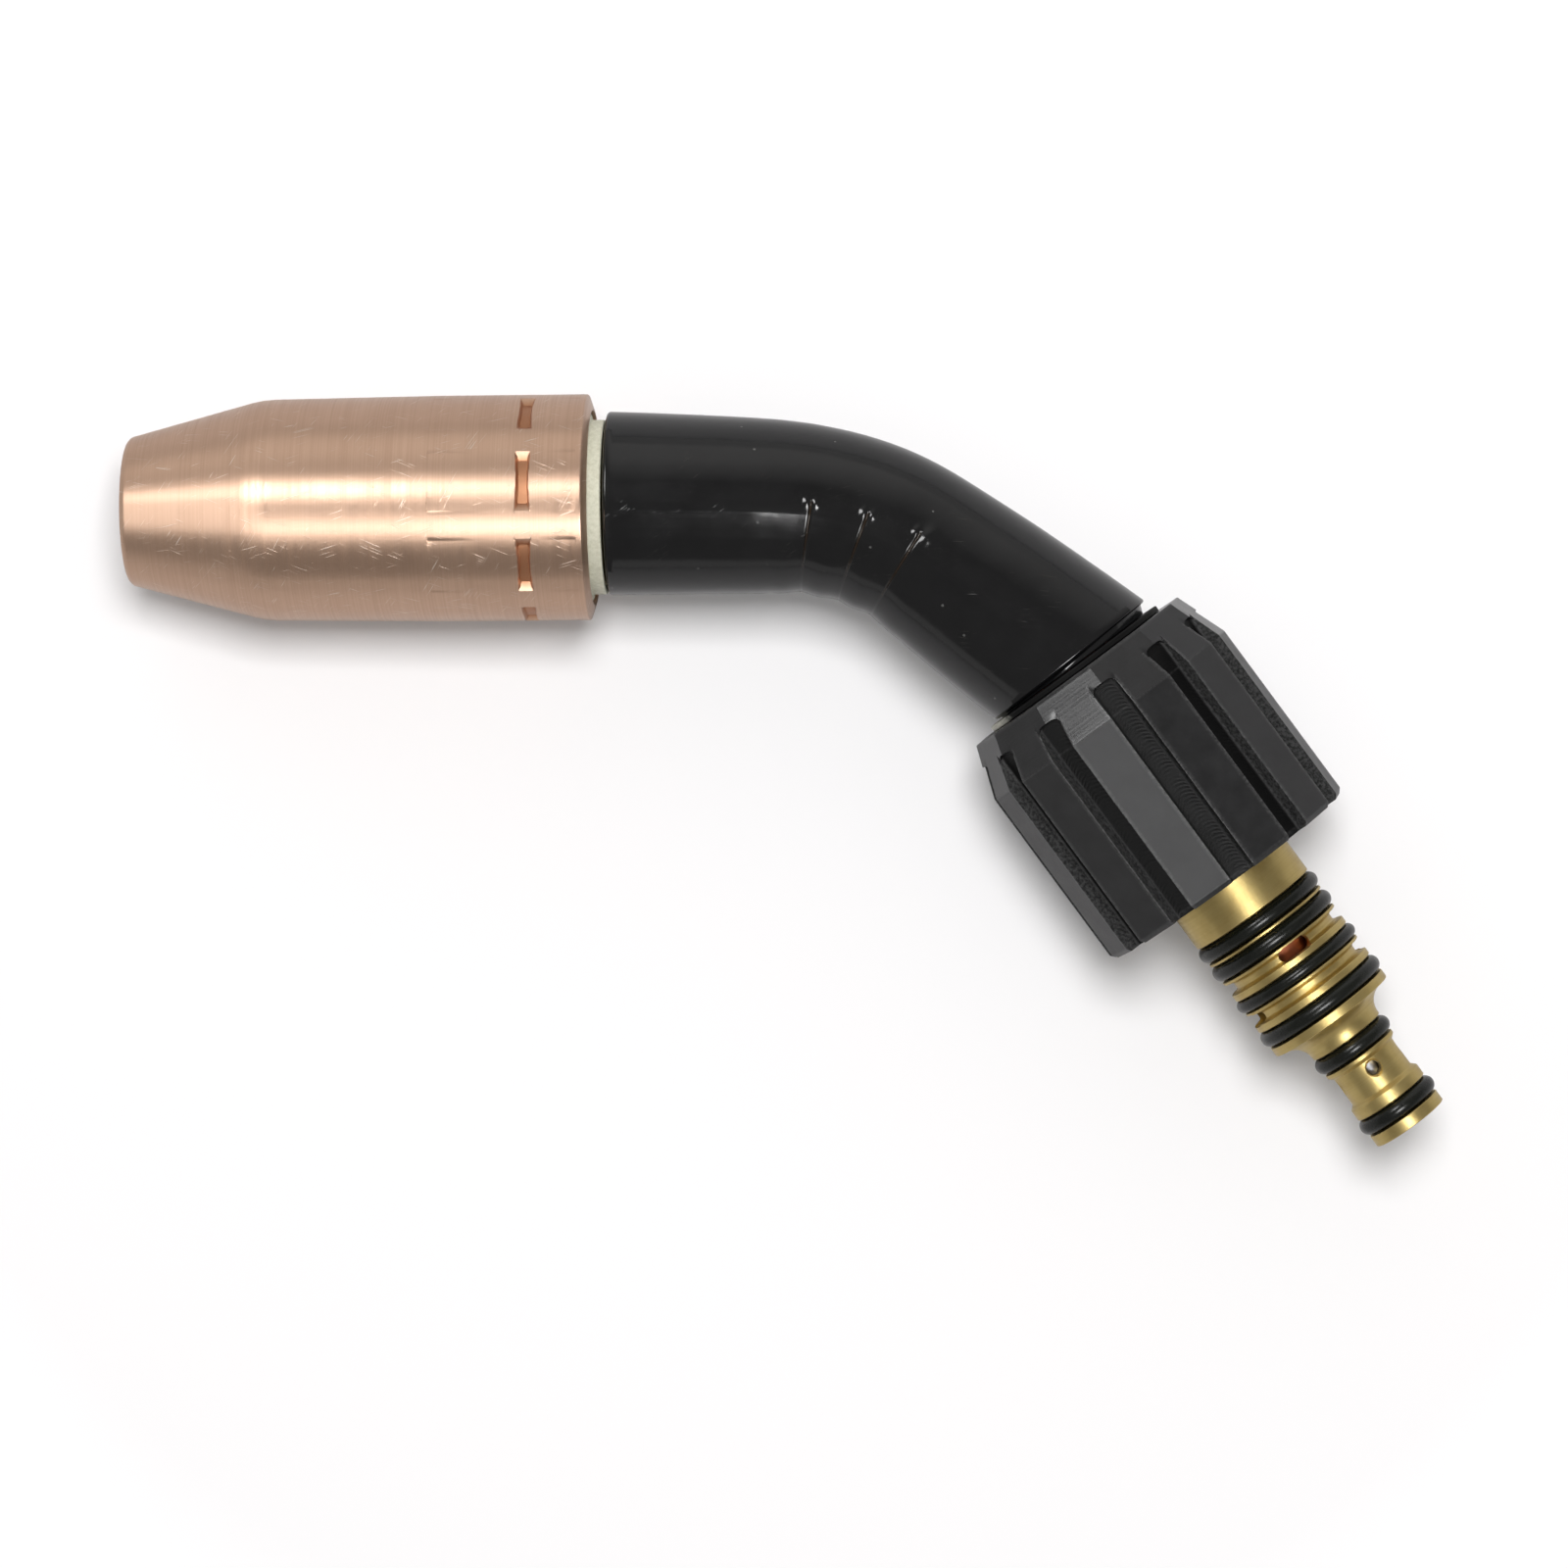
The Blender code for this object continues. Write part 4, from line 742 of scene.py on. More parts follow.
@cache
def unglazed_ceramic():
    """Fired, unglazed ceramic: chalky off-white."""
    colour = bpy.context.scene.neck_plug.ceramic
    return simple_finish("unglazed_ceramic", colour, "#CFC7B6", 2.0, (0.6, 0.8), 0.3)


@cache
def washer_painted_shade():
    """Steel washer painted near black as shade, its steel colour showing only towards the inner side of the
    bend.
    """
    cfg = bpy.context.scene.neck_plug
    material, add = new_material("steel_washer_painted_shade")
    space = own_space(add, PLUG_PLACE)
    grain = add(NOISE, space, 1.2, 3.0, 0.6)
    uneven = add(MATH, grain, 1.6, operation="MULTIPLY")
    to_inner_side = add(MATH, uneven, add("ShaderNodeSeparateXYZ", space, out="Y"), operation="SUBTRACT")
    # Painted shade: near black over the washer, with the steel colour only towards the inner side of the bend
    steel_shows = add(RANGE, to_inner_side, 11.0, 12.6)
    return with_shader(
        material, Metallic=steel_shows, Roughness=0.6, Specular_IOR_Level=0.2,
        Base_Color=layered(add, "#0E0E0E", (steel_shows, 1.0, cfg.washer_steel)),
        Normal=relief(add, (grain, 0.2, 0.00008)),
    )


# Pieces


class BuildNozzle(bpy.types.Operator):
    """Build the brushed copper gas nozzle with its pressed pockets and shallow pads."""

    bl_idname = "neck.build_nozzle"
    bl_label = "Gas Nozzle"

    def execute(self, context):
        cfg = context.scene.neck_nozzle
        corners = cad_section("gas_nozzle", NOZZLE_PLACE, radians(190))
        _, rear, _, outside = limits(corners)
        at_end, inside_mouth, edge = 0.001, 0.0088, 0.0002
        front_blend, rear_blend = 0.012, 0.004

        def radius(z, r):
            if z < at_end and r > inside_mouth:
                return cfg.lip
            if z < at_end or z > rear - at_end:
                return edge
            return front_blend if z < rear / 2 else rear_blend

        # Only the full diameter behind the waist carries the pockets and the pads
        shell = outside - 0.0012
        behind_waist = 0.03
        centre = rear - cfg.pocket_from_rear
        zone = cfg.pocket_end_width / 2 + 0.0004
        marks = list(centre + zone * np.linspace(-1.0, 1.0, 33))
        marks += [pad + side * 0.00012 for pad in (cfg.pad_front, cfg.pad_rear) for side in (-1, 0, 1)]
        outline = densified(rounded(corners, radius), 0.0, rear, 0.002, shell)
        outline = with_stations(outline, marks, shell)

        # Angles from a pocket's middle, close together over the sloping facet at each of its ends
        pitch = 2 * pi / cfg.pockets
        half_spread = cfg.pocket_angle / 2
        facet = np.linspace(-half_spread, 1.2 * cfg.pocket_slope / outside - half_spread, 12)
        first = [-half_spread - 0.0004 / outside, *facet]
        floor_columns = cfg.columns - 2 * (len(first) + 8)
        middle = np.linspace(first[-1], -first[-1], floor_columns + 2)[1:-1]
        own = [*first, *middle, *(-t for t in first[::-1])]
        offsets = np.array([*own, *np.linspace(own[-1], pitch + own[0], 16)[1:-1]])
        turns = np.concatenate([offsets + k * pitch for k in range(cfg.pockets)]) + cfg.pocket_turn + pi
        offsets = np.tile(np.abs(offsets), cfg.pockets)

        # How deep each point lies in its pocket, whose walls are steep at the sides and slope at the ends
        z, r = np.array(outline).T[:, :, None]
        from_end = (half_spread - offsets) * outside
        bow = np.clip(offsets / half_spread, 0, 1) ** 2
        half_width = (cfg.pocket_width + (cfg.pocket_end_width - cfg.pocket_width) * bow) / 2
        near_end = np.clip(1 - from_end / (1.3 * cfg.pocket_slope), 0, 1)
        steep = 0.00022
        wall = steep + (half_width - steep) * near_end * 0.8
        depth = np.minimum((half_width - np.abs(z - centre)) / wall, from_end / cfg.pocket_slope)
        depth = np.clip(depth, 0, 1) * (r > shell) * (z > behind_waist)

        # The pads' step, which fades away from their corners
        ahead, behind = z - cfg.pad_front, cfg.pad_rear - z
        fade = np.clip(np.maximum(1 - ahead / cfg.pad_reach, 1 - 2 * behind / cfg.pad_reach), 0, 1)
        pad_edge, fade_round = 0.00014, 0.0011
        step = np.clip(np.minimum(from_end, np.minimum(ahead, behind)) / pad_edge, 0, 1) * fade
        step = step * np.exp(-np.clip(from_end, 0, None) / fade_round) * (r > shell)

        local = round_axis(r - depth * cfg.pocket_depth - step * cfg.pad_depth, turns, z)
        across = np.append(turns, turns[0] + 2 * pi) * outside / MM
        mesh = closed_grid(to_world(local, NOZZLE_PLACE), across, along_outline(outline), pressed=depth)
        finish_piece("gas_nozzle_shell", mesh, brushed_copper(), "nozzle", "gas_nozzle", 26.0)
        return {"FINISHED"}


class BuildNozzleFittings(bpy.types.Operator):
    """Build the insulator, the brass insert and the split grip ring inside the nozzle."""

    bl_idname = "neck.build_nozzle_fittings"
    bl_label = "Nozzle Insulator, Insert and Grip Ring"

    def execute(self, context):
        for node, material, slot in (
            ("nozzle_insulator", cream_insulator(), "insulator"),
            ("nozzle_insert", turned_brass(HEAD_BRASS), "brass"),
        ):
            mesh = turned_mesh(rounded(cad_section(node, NOZZLE_PLACE), 0.00025), NOZZLE_PLACE, 144)
            finish_piece(node + "_turned", mesh, material, "nozzle", node)
        outline = rounded(cad_section("nozzle_grip_ring", NOZZLE_PLACE), 0.0001)
        half_gap, columns = radians(7.0), 120
        turns = np.linspace(pi + half_gap, 3 * pi - half_gap, columns)
        rings = [[NOZZLE_PLACE @ Vector((r * cos(t), r * sin(t), z)) for z, r in outline] for t in turns]
        steel = spring_steel()
        finish_piece("grip_ring_split", lofted(rings), steel, "grip_ring", "nozzle_grip_ring")
        return {"FINISHED"}


def cutters_round(sections, station, count, angle, place):
    """Radial cutters round an axis at a station, the first at an angle from the top, as one mesh.

    Sections are (distance from the axis, half length, half width), and their ends are round.
    """
    sides = 32
    turns = [2 * pi * (k + 0.5) / sides for k in range(sides)]
    rings = []
    for reach, half_length, half_width in sections:
        to_end = half_length - half_width
        rings.append([
            (-reach, copysign(to_end, cos(t)) + half_width * cos(t), half_width * sin(t)) for t in turns
        ])
    values = {"Count": count, "First Angle": angle, "Finish": turned_brass()}
    mesh = shaped(lofted(rings), copies_tree(), values)
    mesh.transform(place @ Matrix.Translation((0, 0, station)))
    return mesh


class BuildNeckHead(bpy.types.Operator):
    """Build the neck head, tip holder, contact tip and spatter guard inside the nozzle."""

    bl_idname = "neck.build_head"
    bl_label = "Neck Head and Contact Tip"

    def execute(self, context):
        brass = turned_brass(HEAD_BRASS)
        columns = 96
        for node, material, slot, size in (
            ("neck_head", brass, "brass", 0.0003),
            ("contact_tip", turned_copper_tip(), "copper", 0.0005),
            ("spatter_guard", unglazed_ceramic(), "ceramic", 0.0004),
        ):
            mesh = turned_mesh(rounded(cad_section(node, NOZZLE_PLACE), size), NOZZLE_PLACE, columns)
            finish_piece(node + "_turned", mesh, material, "neck", node)
        corners = cad_section("tip_holder", NOZZLE_PLACE, radians(30.0))
        front = limits(corners)[0]
        outline = densified(rounded(corners, 0.0003), front + 0.006, front + 0.011, 0.0004)
        # Eight gas holes, with a countersink on each
        hole, sink, holes_from_front = 0.0008, 0.0016, 0.0085
        sections = [(0.001, hole, hole), (0.0052, hole, hole), (0.0062, sink, sink)]
        cutters = cutters_round(sections, front + holes_from_front, 8, radians(7.5), NOZZLE_PLACE)
        mesh = cut_with(turned_mesh(outline, NOZZLE_PLACE, columns), [cutters])
        finish_piece("tip_holder_turned", mesh, brass, "neck", "tip_holder")
        return {"FINISHED"}


def plug_in_nozzle_space():
    """Where the union nut's front face is centred, along the nozzle axis and out to the side of the bend."""
    local = NOZZLE_PLACE.inverted() @ PLUG_PLACE.translation
    return Vector((local.z, local.y))


def flat_heading(angle):
    """A direction in the bend's plane, by its angle from the nozzle axis."""
    return Vector((cos(angle), -sin(angle)))


class BuildNeckTubes(bpy.types.Operator):
    """Build the tubes that run through the bend, one inside the other."""

    bl_idname = "neck.build_tubes"
    bl_label = "Neck Tubes and Liner"

    def execute(self, context):
        end = plug_in_nozzle_space()
        heading = flat_heading(BEND_ANGLE)
        radius, runout, steps = 0.0500, 0.0012, 32
        bends = np.linspace(0.0, BEND_ANGLE, steps + 1)
        from_start = [radius * Vector((sin(angle), cos(angle) - 1.0)) for angle in bends]
        start = end - runout * heading - from_start[-1]
        copper, steel = brazed_copper_tube(), spring_steel()
        for node, diameter, wall, material, slot in (
            ("jacket_tube", 0.0130, 0.00075, copper, "copper_tube"),
            ("water_divider_tube", 0.0100, 0.0005, copper, "copper_tube"),
            ("conduit_tube", 0.0064, 0.0007, copper, "copper_tube"),
            ("neck_liner", 0.0042, 0.0009, steel, "liner"),
        ):
            # The CAD tube's ends, along the nozzle axis and along the plug axis
            verts = [vert.co for vert in frame["nodes"][node].data.vertices]
            front = min((NOZZLE_PLACE.inverted() @ co).z for co in verts)
            rear = max((PLUG_PLACE.inverted() @ co).z for co in verts)
            points = [Vector((front, 0.0)), *(start + point for point in from_start), end + rear * heading]
            curve = bpy.data.curves.new(node, "CURVE")
            curve.dimensions = "3D"
            spline = curve.splines.new("POLY")
            spline.points.add(len(points) - 1)
            for point, (along, out) in zip(spline.points, points):
                point.co = (*(NOZZLE_PLACE @ Vector((0.0, out, along))), 1.0)
            mesh = shaped(curve, tube_tree(), {"Diameter": diameter, "Finish": material}, wall)
            finish_piece(node + "_drawn", mesh, material, "neck", node)
        return {"FINISHED"}


# The sleeve's outside along its centre line: station from its front, how far it leans to the outer side of
# the bend, and its radius
SLEEVE_OUTSIDE = (
    (0.0, 0.00048, 0.01178), (0.005, 0.00037, 0.01168), (0.010, 0.00026, 0.01155), (0.015, 0.00013, 0.01140),
    (0.019, 0.0, 0.01128), (0.023, -0.00010, 0.01103), (0.027, 0.0, 0.01078), (0.031, 0.00012, 0.01071),
    (0.035, 0.00027, 0.01070), (0.039, 0.00048, 0.01062), (0.0415, 0.00056, 0.01070), (0.045, 0.00056, 0.01092),
    (0.050, 0.00050, 0.01125), (0.055, 0.00040, 0.01146), (0.060, 0.00030, 0.01162), (0.066, 0.00020, 0.01172),
)
# The nominal radius that those go with
SLEEVE_NOMINAL = 0.0117

# Each crease: how far along the bend it lies, and its start's angle from the top towards the inner side
CREASES = ((0.293, -0.10), (0.634, -0.14), (0.953, -0.20))


class BuildSleeve(bpy.types.Operator):
    """Build the glossy sleeve over the bend, with the creases of its inner side."""

    bl_idname = "neck.build_sleeve"
    bl_label = "Bend Sleeve"

    def execute(self, context):
        cfg = context.scene.neck_sleeve
        radius, bore = cfg.diameter / 2, cfg.diameter / 2 - cfg.wall
        angle = BEND_ANGLE - cfg.lag

        # The centre line: a straight lead, the bend, and a straight run to the gap in front of the nut
        plug = plug_in_nozzle_space()
        end = plug - cfg.end_gap * flat_heading(BEND_ANGLE)
        from_corner = -end.y / sin(angle)
        tangent = cfg.bend_radius * tan(angle / 2)
        arc_length = cfg.bend_radius * angle
        lead = end.x - from_corner * cos(angle) - tangent - cfg.front
        total = lead + arc_length + from_corner - tangent
        creases = [(lead + part * arc_length, begin) for part, begin in CREASES]
        marks = list(np.arange(0.0004, total - 0.0004, 0.0007))
        for station, _ in creases:
            marks += list(station + np.linspace(-0.0014, 0.0024, 61))
        along = np.array(sorted(set(np.round(marks, 6))))
        bend = np.clip((along - lead) / cfg.bend_radius, 0.0, angle)
        straight = np.minimum(along - lead, 0.0) + np.maximum(along - lead - arc_length, 0.0)
        x = cfg.front + lead + cfg.bend_radius * np.sin(bend) + straight * np.cos(bend)
        y = cfg.bend_radius * (np.cos(bend) - 1.0) - straight * np.sin(bend)

        # Angles from the bottom through the outer side to the top, and back; closer where the creases start
        coarse = np.arange(0.0, pi - 0.36, 0.04)
        turns = np.concatenate([coarse, np.arange(pi - 0.34, pi + 0.10, 0.014), 2 * pi - coarse[:0:-1]])
        down, side = np.cos(turns), np.sin(turns)

        # The run behind the bend is stretched so that its end lies on a slanting cut
        ease = 0.0004
        cut = BEND_ANGLE - cfg.end_tilt
        end_run = end.x * cos(cut) - end.y * sin(cut) - ease
        first = along[np.argmax(along > lead + arc_length + 0.001)]
        stretch = np.clip((along - first) / (along[-1] - first), 0, 1)[:, None]

        def rows_at(size, lean):
            """Rows of points from front to rear, at a distance from a line that leans to the outer side."""
            px = (x + lean * np.sin(bend))[:, None] + size * side * np.sin(bend)[:, None]
            py = (y + lean * np.cos(bend))[:, None] + size * side * np.cos(bend)[:, None]
            slide = stretch * (end_run - px[-1] * cos(cut) + py[-1] * sin(cut)) / cos(angle - cut)
            px, py = px + slide * cos(angle), py - slide * sin(angle)
            return np.stack(np.broadcast_arrays(px, py, size * down), axis=-1)

        def plug_ring(station, size):
            """A ring about the plug's axis, at a station from the union nut's front face."""
            middle = plug + station * flat_heading(BEND_ANGLE)
            px, py = middle.x + size * side * sin(BEND_ANGLE), middle.y + size * side * cos(BEND_ANGLE)
            return np.stack([px, py, size * down], axis=-1)

        stations, leans, radii = np.array(SLEEVE_OUTSIDE).T
        form = smooth_table(along, stations, radii)[:, None] * (radius / SLEEVE_NOMINAL)
        relief = sleeve_relief(along, turns, creases, cfg)
        outer = rows_at(form + relief, smooth_table(along, stations, leans))
        inner = rows_at(bore, 0.0)
        rear = round_end(outer[-1], outer[-2], inner[-1], ease)[:5]
        foot = rear[-1] + (inner[-1] - outer[-1]) * 0.12
        size = cfg.collar / 2
        collar = [
            plug_ring(-cfg.collar_gap - back, collar_radius) for back, collar_radius in (
                (0.00020, size), (0.00006, size - 0.00004), (0.0, size - 0.00020), (0.0, size - 0.0010),
                (0.0, bore),
            )
        ]
        front = round_end(inner[0], inner[1], outer[0], ease)
        grid = np.concatenate([outer, rear, np.array([foot, *collar]), inner[-3::-4], front])
        spans = np.linalg.norm(np.diff(grid[:, 0], axis=0, append=grid[:1, 0]), axis=1)
        grime = np.zeros(grid.shape[:2])
        grime[: len(outer)] = crease_grime(along, turns, creases)
        mesh = closed_grid(
            to_world(grid[..., ::-1], NOZZLE_PLACE), np.append(turns, 2 * pi) * radius / MM,
            np.append(0.0, np.cumsum(spans)) / MM, grime=grime,
        )
        finish_piece("bend_sleeve", mesh, glossy_sleeve(), "neck", "neck_cover", 50.0)
        return {"FINISHED"}


def smooth_table(at, stations, values):
    """Values of a table at any place, with the corners between its rows smoothed."""
    reach = np.linspace(-0.0016, 0.0016, 9)
    weights = np.exp(-((reach / 0.0010) ** 2))
    rows = [np.interp(at + shift, stations, values) for shift in reach]
    return np.average(rows, axis=0, weights=weights)


def round_end(edge, before, other, size):
    """Rows that carry one edge ring round to another, with both edges eased."""
    ways = (edge - before, other - edge)
    out, inward = (size * way / np.linalg.norm(way, axis=1, keepdims=True) for way in ways)
    steps = np.linspace(0, pi / 2, 5)
    rows = [edge + out * sin(t) + inward * (1 - cos(t)) for t in steps]
    rows += [other + out * sin(t) - inward * (1 - cos(t)) for t in steps[::-1]]
    return np.array(rows)


def crease_lines(along, turns, creases):
    """For each crease, how far each point is behind its line and how far past its start, round the sleeve."""
    # The creases drift to the rear towards the inner side of the bend
    drift = 0.0003
    for station, begin in creases:
        past_start = turns - pi - begin
        yield along[:, None] - station - drift * np.clip(past_start, 0, 2), past_start


def crease_grime(along, turns, creases):
    """How much dirt lies in the creases."""
    grime = 0.0
    for off, past_start in crease_lines(along, turns, creases):
        fade = np.clip(past_start / 0.05, 0, 1) * np.clip((0.95 - turns + pi) / 0.7, 0, 1)
        grime = np.maximum(grime, fade * np.exp(-((off / 0.00014) ** 2)))
    return grime


def sleeve_relief(along, turns, creases, cfg):
    """Heights of the creases and of the slack between them, over the sleeve's outside."""
    inner = turns - pi
    groove, small, drawn_out = 0.00016, 0.00042, 0.00080
    relief = np.zeros((len(along), len(turns)))
    for number, (off, past_start) in enumerate(crease_lines(along, turns, creases)):
        fade = np.clip(past_start / 0.06, 0, 1) * (0.3 + 0.7 * np.clip((0.9 - inner) / 0.7, 0, 1))
        fade *= np.clip((2.3 - inner) / 0.6, 0, 1)
        relief -= np.exp(-((off / groove) ** 2)) * cfg.crease_depth * fade
        # Two pimples where the crease starts; the last crease's second one is drawn out
        round_sleeve = (past_start - 0.03) * cfg.diameter / 2
        for side_of, spread in ((-1.0, small), (1.0, drawn_out if number == len(creases) - 1 else small)):
            from_pimple = np.hypot(off - side_of * (groove + spread), round_sleeve / 1.8)
            relief += cfg.pimple * (spread / small) ** 0.8 * np.exp(-((from_pimple / spread) ** 2))
    first, last = creases[0][0], creases[-1][0]
    pitch = creases[1][0] - first
    wave = np.cos(2 * pi * (along - first) / pitch)
    wave *= np.clip((along - first + pitch) / pitch, 0, 1) * np.clip((last + pitch - along) / pitch, 0, 1)
    slack = 0.00014
    return relief - slack * wave[:, None] * np.sin(np.clip(inner, 0, pi)) ** 2


class BuildNut(bpy.types.Operator):
    """Build the twelve-sided union nut with a flute along each corner."""

    bl_idname = "neck.build_nut"
    bl_label = "Union Nut"

    def execute(self, context):
        cfg = context.scene.neck_nut
        lean = pi / cfg.sides
        half, floor = cfg.flute_width / 2, cfg.flute_floor / 2
        front, full = cfg.front_flats / 2, cfg.flats / 2
        # Roundings of the flutes' rims and of their inner corners, and where the flat lands start
        rim, corner = 0.00014, 0.00045
        land = half + 1.4 * rim
        # Distances to the side of a corner's middle plane, from the middle of one flat to the next
        width = full * tan(lean)
        one_side = [0.0, *(t * (half - corner) for t in (0.3, 0.6, 0.85, 1.0))]
        one_side += [half - corner + corner * sin(t) for t in np.linspace(0.25, pi / 2, 6)]
        one_side += [*(half + t * rim for t in (0.15, 0.55, 1.0)), *np.linspace(land, width, 8)[:-1]]
        sides = np.array([-side for side in one_side[:0:-1]] + one_side)
        spread = np.linspace(-lean, lean, len(sides) + 1)[:-1] + lean / len(sides)
        sectors = 2 * lean * np.arange(cfg.sides)[:, None] + pi
        rows = []

        def add_ring(z, r):
            points = round_axis(r, (sectors + spread).ravel(), z)
            rows.append((points, np.zeros(len(points)), np.zeros(len(points)), z))

        def add_row(z, flats, fluted, edge_mark=0.0, shift=0.0):
            """A row over the flats and, as far as it is fluted, down into the flutes, whose rims are eased."""
            narrowing = (flats * tan(lean) - land) / (width - land)
            narrowed = np.sign(sides) * (land + (np.abs(sides) - land) * narrowing)
            placed = np.where(np.abs(sides) > land, narrowed, sides)
            off = np.abs(placed)
            out = (flats - off * sin(lean)) / cos(lean)
            near_wall = np.clip(off - (half - corner), 0, corner)
            bottom = floor + corner - np.sqrt(corner**2 - near_wall**2)
            eased = 0.55 * rim * np.clip((half + rim - off) / rim, 0, 1) ** 2
            out = out - np.where(off <= half + 1e-9, np.clip(out - bottom, 0, None), eased) * fluted
            x = out * np.cos(sectors) - placed * np.sin(sectors)
            y = out * np.sin(sectors) + placed * np.cos(sectors)
            points = np.stack(np.broadcast_arrays(x, y, z + shift), axis=-1).reshape(-1, 3)
            # How far a point lies in a flute, where the material paints near black shade
            cut = np.clip((half + rim * 0.6 - off) / (rim * 0.5), 0, 1) * fluted
            edge = np.maximum(np.exp(-(((off - half - rim * 0.5) / 0.00022) ** 2)) * fluted, edge_mark)
            rows.append((points, np.tile(cut, cfg.sides), np.tile(edge, cfg.sides), z))

        # The front face, its rim and the cone up to the flutes
        bore, socket, web = 0.0098, 0.0146, 0.0085
        for r in (bore + 0.0002, bore + 0.0010, bore + 0.0022):
            add_ring(0.0, r)
        for z, out, edge_mark in (
            (0.0, -0.0012, 0.0), (0.0, -0.00026, 0.0), (0.0, -0.00012, 0.0), (0.00003, -0.00003, 0.8),
            (0.00012, 0.00005, 0.3),
        ):
            add_row(z, front + out, 0.0, edge_mark)
        start, cone = cfg.flute_start, cfg.cone_length
        rise = (full - front) / cone
        for z in np.linspace(0.0005, start - 0.0003, 4):
            add_row(z, front + rise * z, 0.0)
        # The flutes' ends, whose corners are round, and the rest of the cone
        swept = 0.0006 * np.clip(np.abs(sides) / half, 0, 1) ** 5 * (np.abs(sides) <= half + rim)
        for behind, fluted in ((-0.00005, 0.0), (0.0, 0.12), (0.00006, 0.92), (0.00016, 1.0)):
            add_row(start + behind, front + rise * (start + behind), fluted, 0.0, swept)
        for z in np.linspace(start + 0.0009, cone - 0.00018, 7):
            add_row(z, front + rise * z, 1.0)
        # The lands, the rear bevel and the rear face
        rear, bevel = cfg.length, 0.0006
        for z, inward, edge_mark in (
            (cone - 0.00006, rise * 0.00007, 0.25), (cone + 0.00006, 0.0, 0.25), (cone + 0.0002, 0.0, 0.0),
            *((z, 0.0, 0.0) for z in np.linspace(cone + 0.0015, rear - bevel - 0.0002, 16)),
            (rear - bevel - 0.00005, 0.0, 0.3), (rear - bevel + 0.00005, 0.00004, 0.3),
            (rear - 0.00006, 0.00045, 0.0), (rear, 0.00052, 0.0), (rear, 0.00058, 0.0), (rear, 0.00091, 0.0),
        ):
            add_row(z, full - inward, 1.0, edge_mark)
        # The socket, the web behind the front face and the bore
        for r, z in (
            (socket + 0.0010, rear), (socket + 0.0003, rear), (socket + 0.0001, rear - 0.00006),
            (socket, rear - 0.0003), (socket, rear - 0.002), (socket, 0.020), (socket, web + 0.0004),
            (socket - 0.0001, web + 0.0001), (socket - 0.0004, web), (0.012, web), (bore + 0.0004, web),
            (bore + 0.0001, web - 0.0001), (bore, web - 0.0004), (bore, 0.0060), (bore, 0.0004),
            (bore + 0.00006, 0.0001),
        ):
            add_ring(z, r)
        points, cut, edge, heights = zip(*rows)
        place = PLUG_PLACE @ Matrix.Rotation(-cfg.turn, 4, "Z")
        mesh = closed_grid(
            to_world(np.array(points), place), np.append(np.tile(sides, cfg.sides), sides[0]) / MM,
            np.append(heights, heights[0]) / MM, cut=cut, edge=edge,
        )
        finish_piece("union_nut_fluted", mesh, matt_nut_plastic(), "nut", "union_nut", 24.0)
        return {"FINISHED"}


class BuildNutFittings(bpy.types.Operator):
    """Build the threaded ring inside the nut, the snap ring and the washer in front of the nut."""

    bl_idname = "neck.build_nut_fittings"
    bl_label = "Nut Thread, Snap Ring and Washer"

    def execute(self, context):
        cfg = context.scene.neck_nut
        nut_place = PLUG_PLACE @ Matrix.Rotation(-cfg.turn, 4, "Z")
        low, high, inner, outer = limits(cad_section("nut_thread_insert", nut_place))
        columns, edge = 180, 0.0001
        down_bore = np.arange(high - 2 * edge, low + edge, -cfg.thread_pitch / 10)
        outline = [(low, outer - edge), (low + edge, outer), (high - edge, outer), (high, outer - edge)]
        is_bore = np.arange(len(outline) + len(down_bore))[:, None] >= len(outline)
        outline += [(float(station), inner) for station in down_bore]
        z, r = np.array(outline).T[:, :, None]
        turns = 2 * pi * np.arange(columns + 1) / columns
        phase_at = (z / cfg.thread_pitch - turns[:-1] / (2 * pi)) % 1.0
        tooth = np.clip(np.abs(phase_at - 0.5) * 2.4 - 0.2, 0, 1)
        runout = np.clip((high - z) / 0.0012, 0, 1) * np.clip((z - low) / 0.0004, 0, 1)
        cut_back = is_bore * (1 - runout * tooth) * cfg.thread_depth
        local = round_axis(r + cut_back, turns[:-1], z)
        mesh = closed_grid(to_world(local, PLUG_PLACE), turns * outer / MM, along_outline(outline))
        finish_piece("nut_thread_ring", mesh, turned_brass(), "nut", "nut_thread_insert", 40.0)

        # The washer's rear face comes up to just short of the nut's front
        corners, clear, nearer = [], -0.00006, 0.00024
        for z, r in cad_section("nut_washer", PLUG_PLACE):
            corners.append((min(z + nearer, clear) if z > -2 * nearer else z, r))
        mesh = turned_mesh(rounded(corners, 0.00015), PLUG_PLACE, 144)
        finish_piece("nut_washer_turned", mesh, washer_painted_shade(), "neck", "nut_washer")

        low, high, _, reach = limits(cad_section("nut_snap_ring", PLUG_PLACE))
        mesh = shaped(bpy.data.meshes.new("ring"), ring_tree(), {
            "Outer Diameter": 2 * reach, "Section": 0.0012, "Height": (low + high) / 2,
            "Opening": radians(20.0), "Steps": 96, "Section Steps": 16, "Finish": spring_steel(),
        })
        mesh.transform(PLUG_PLACE @ Matrix.Rotation(pi, 4, "Z"))
        finish_piece("nut_snap_ring_wire", mesh, spring_steel(), "snap_ring", "nut_snap_ring")
        return {"FINISHED"}


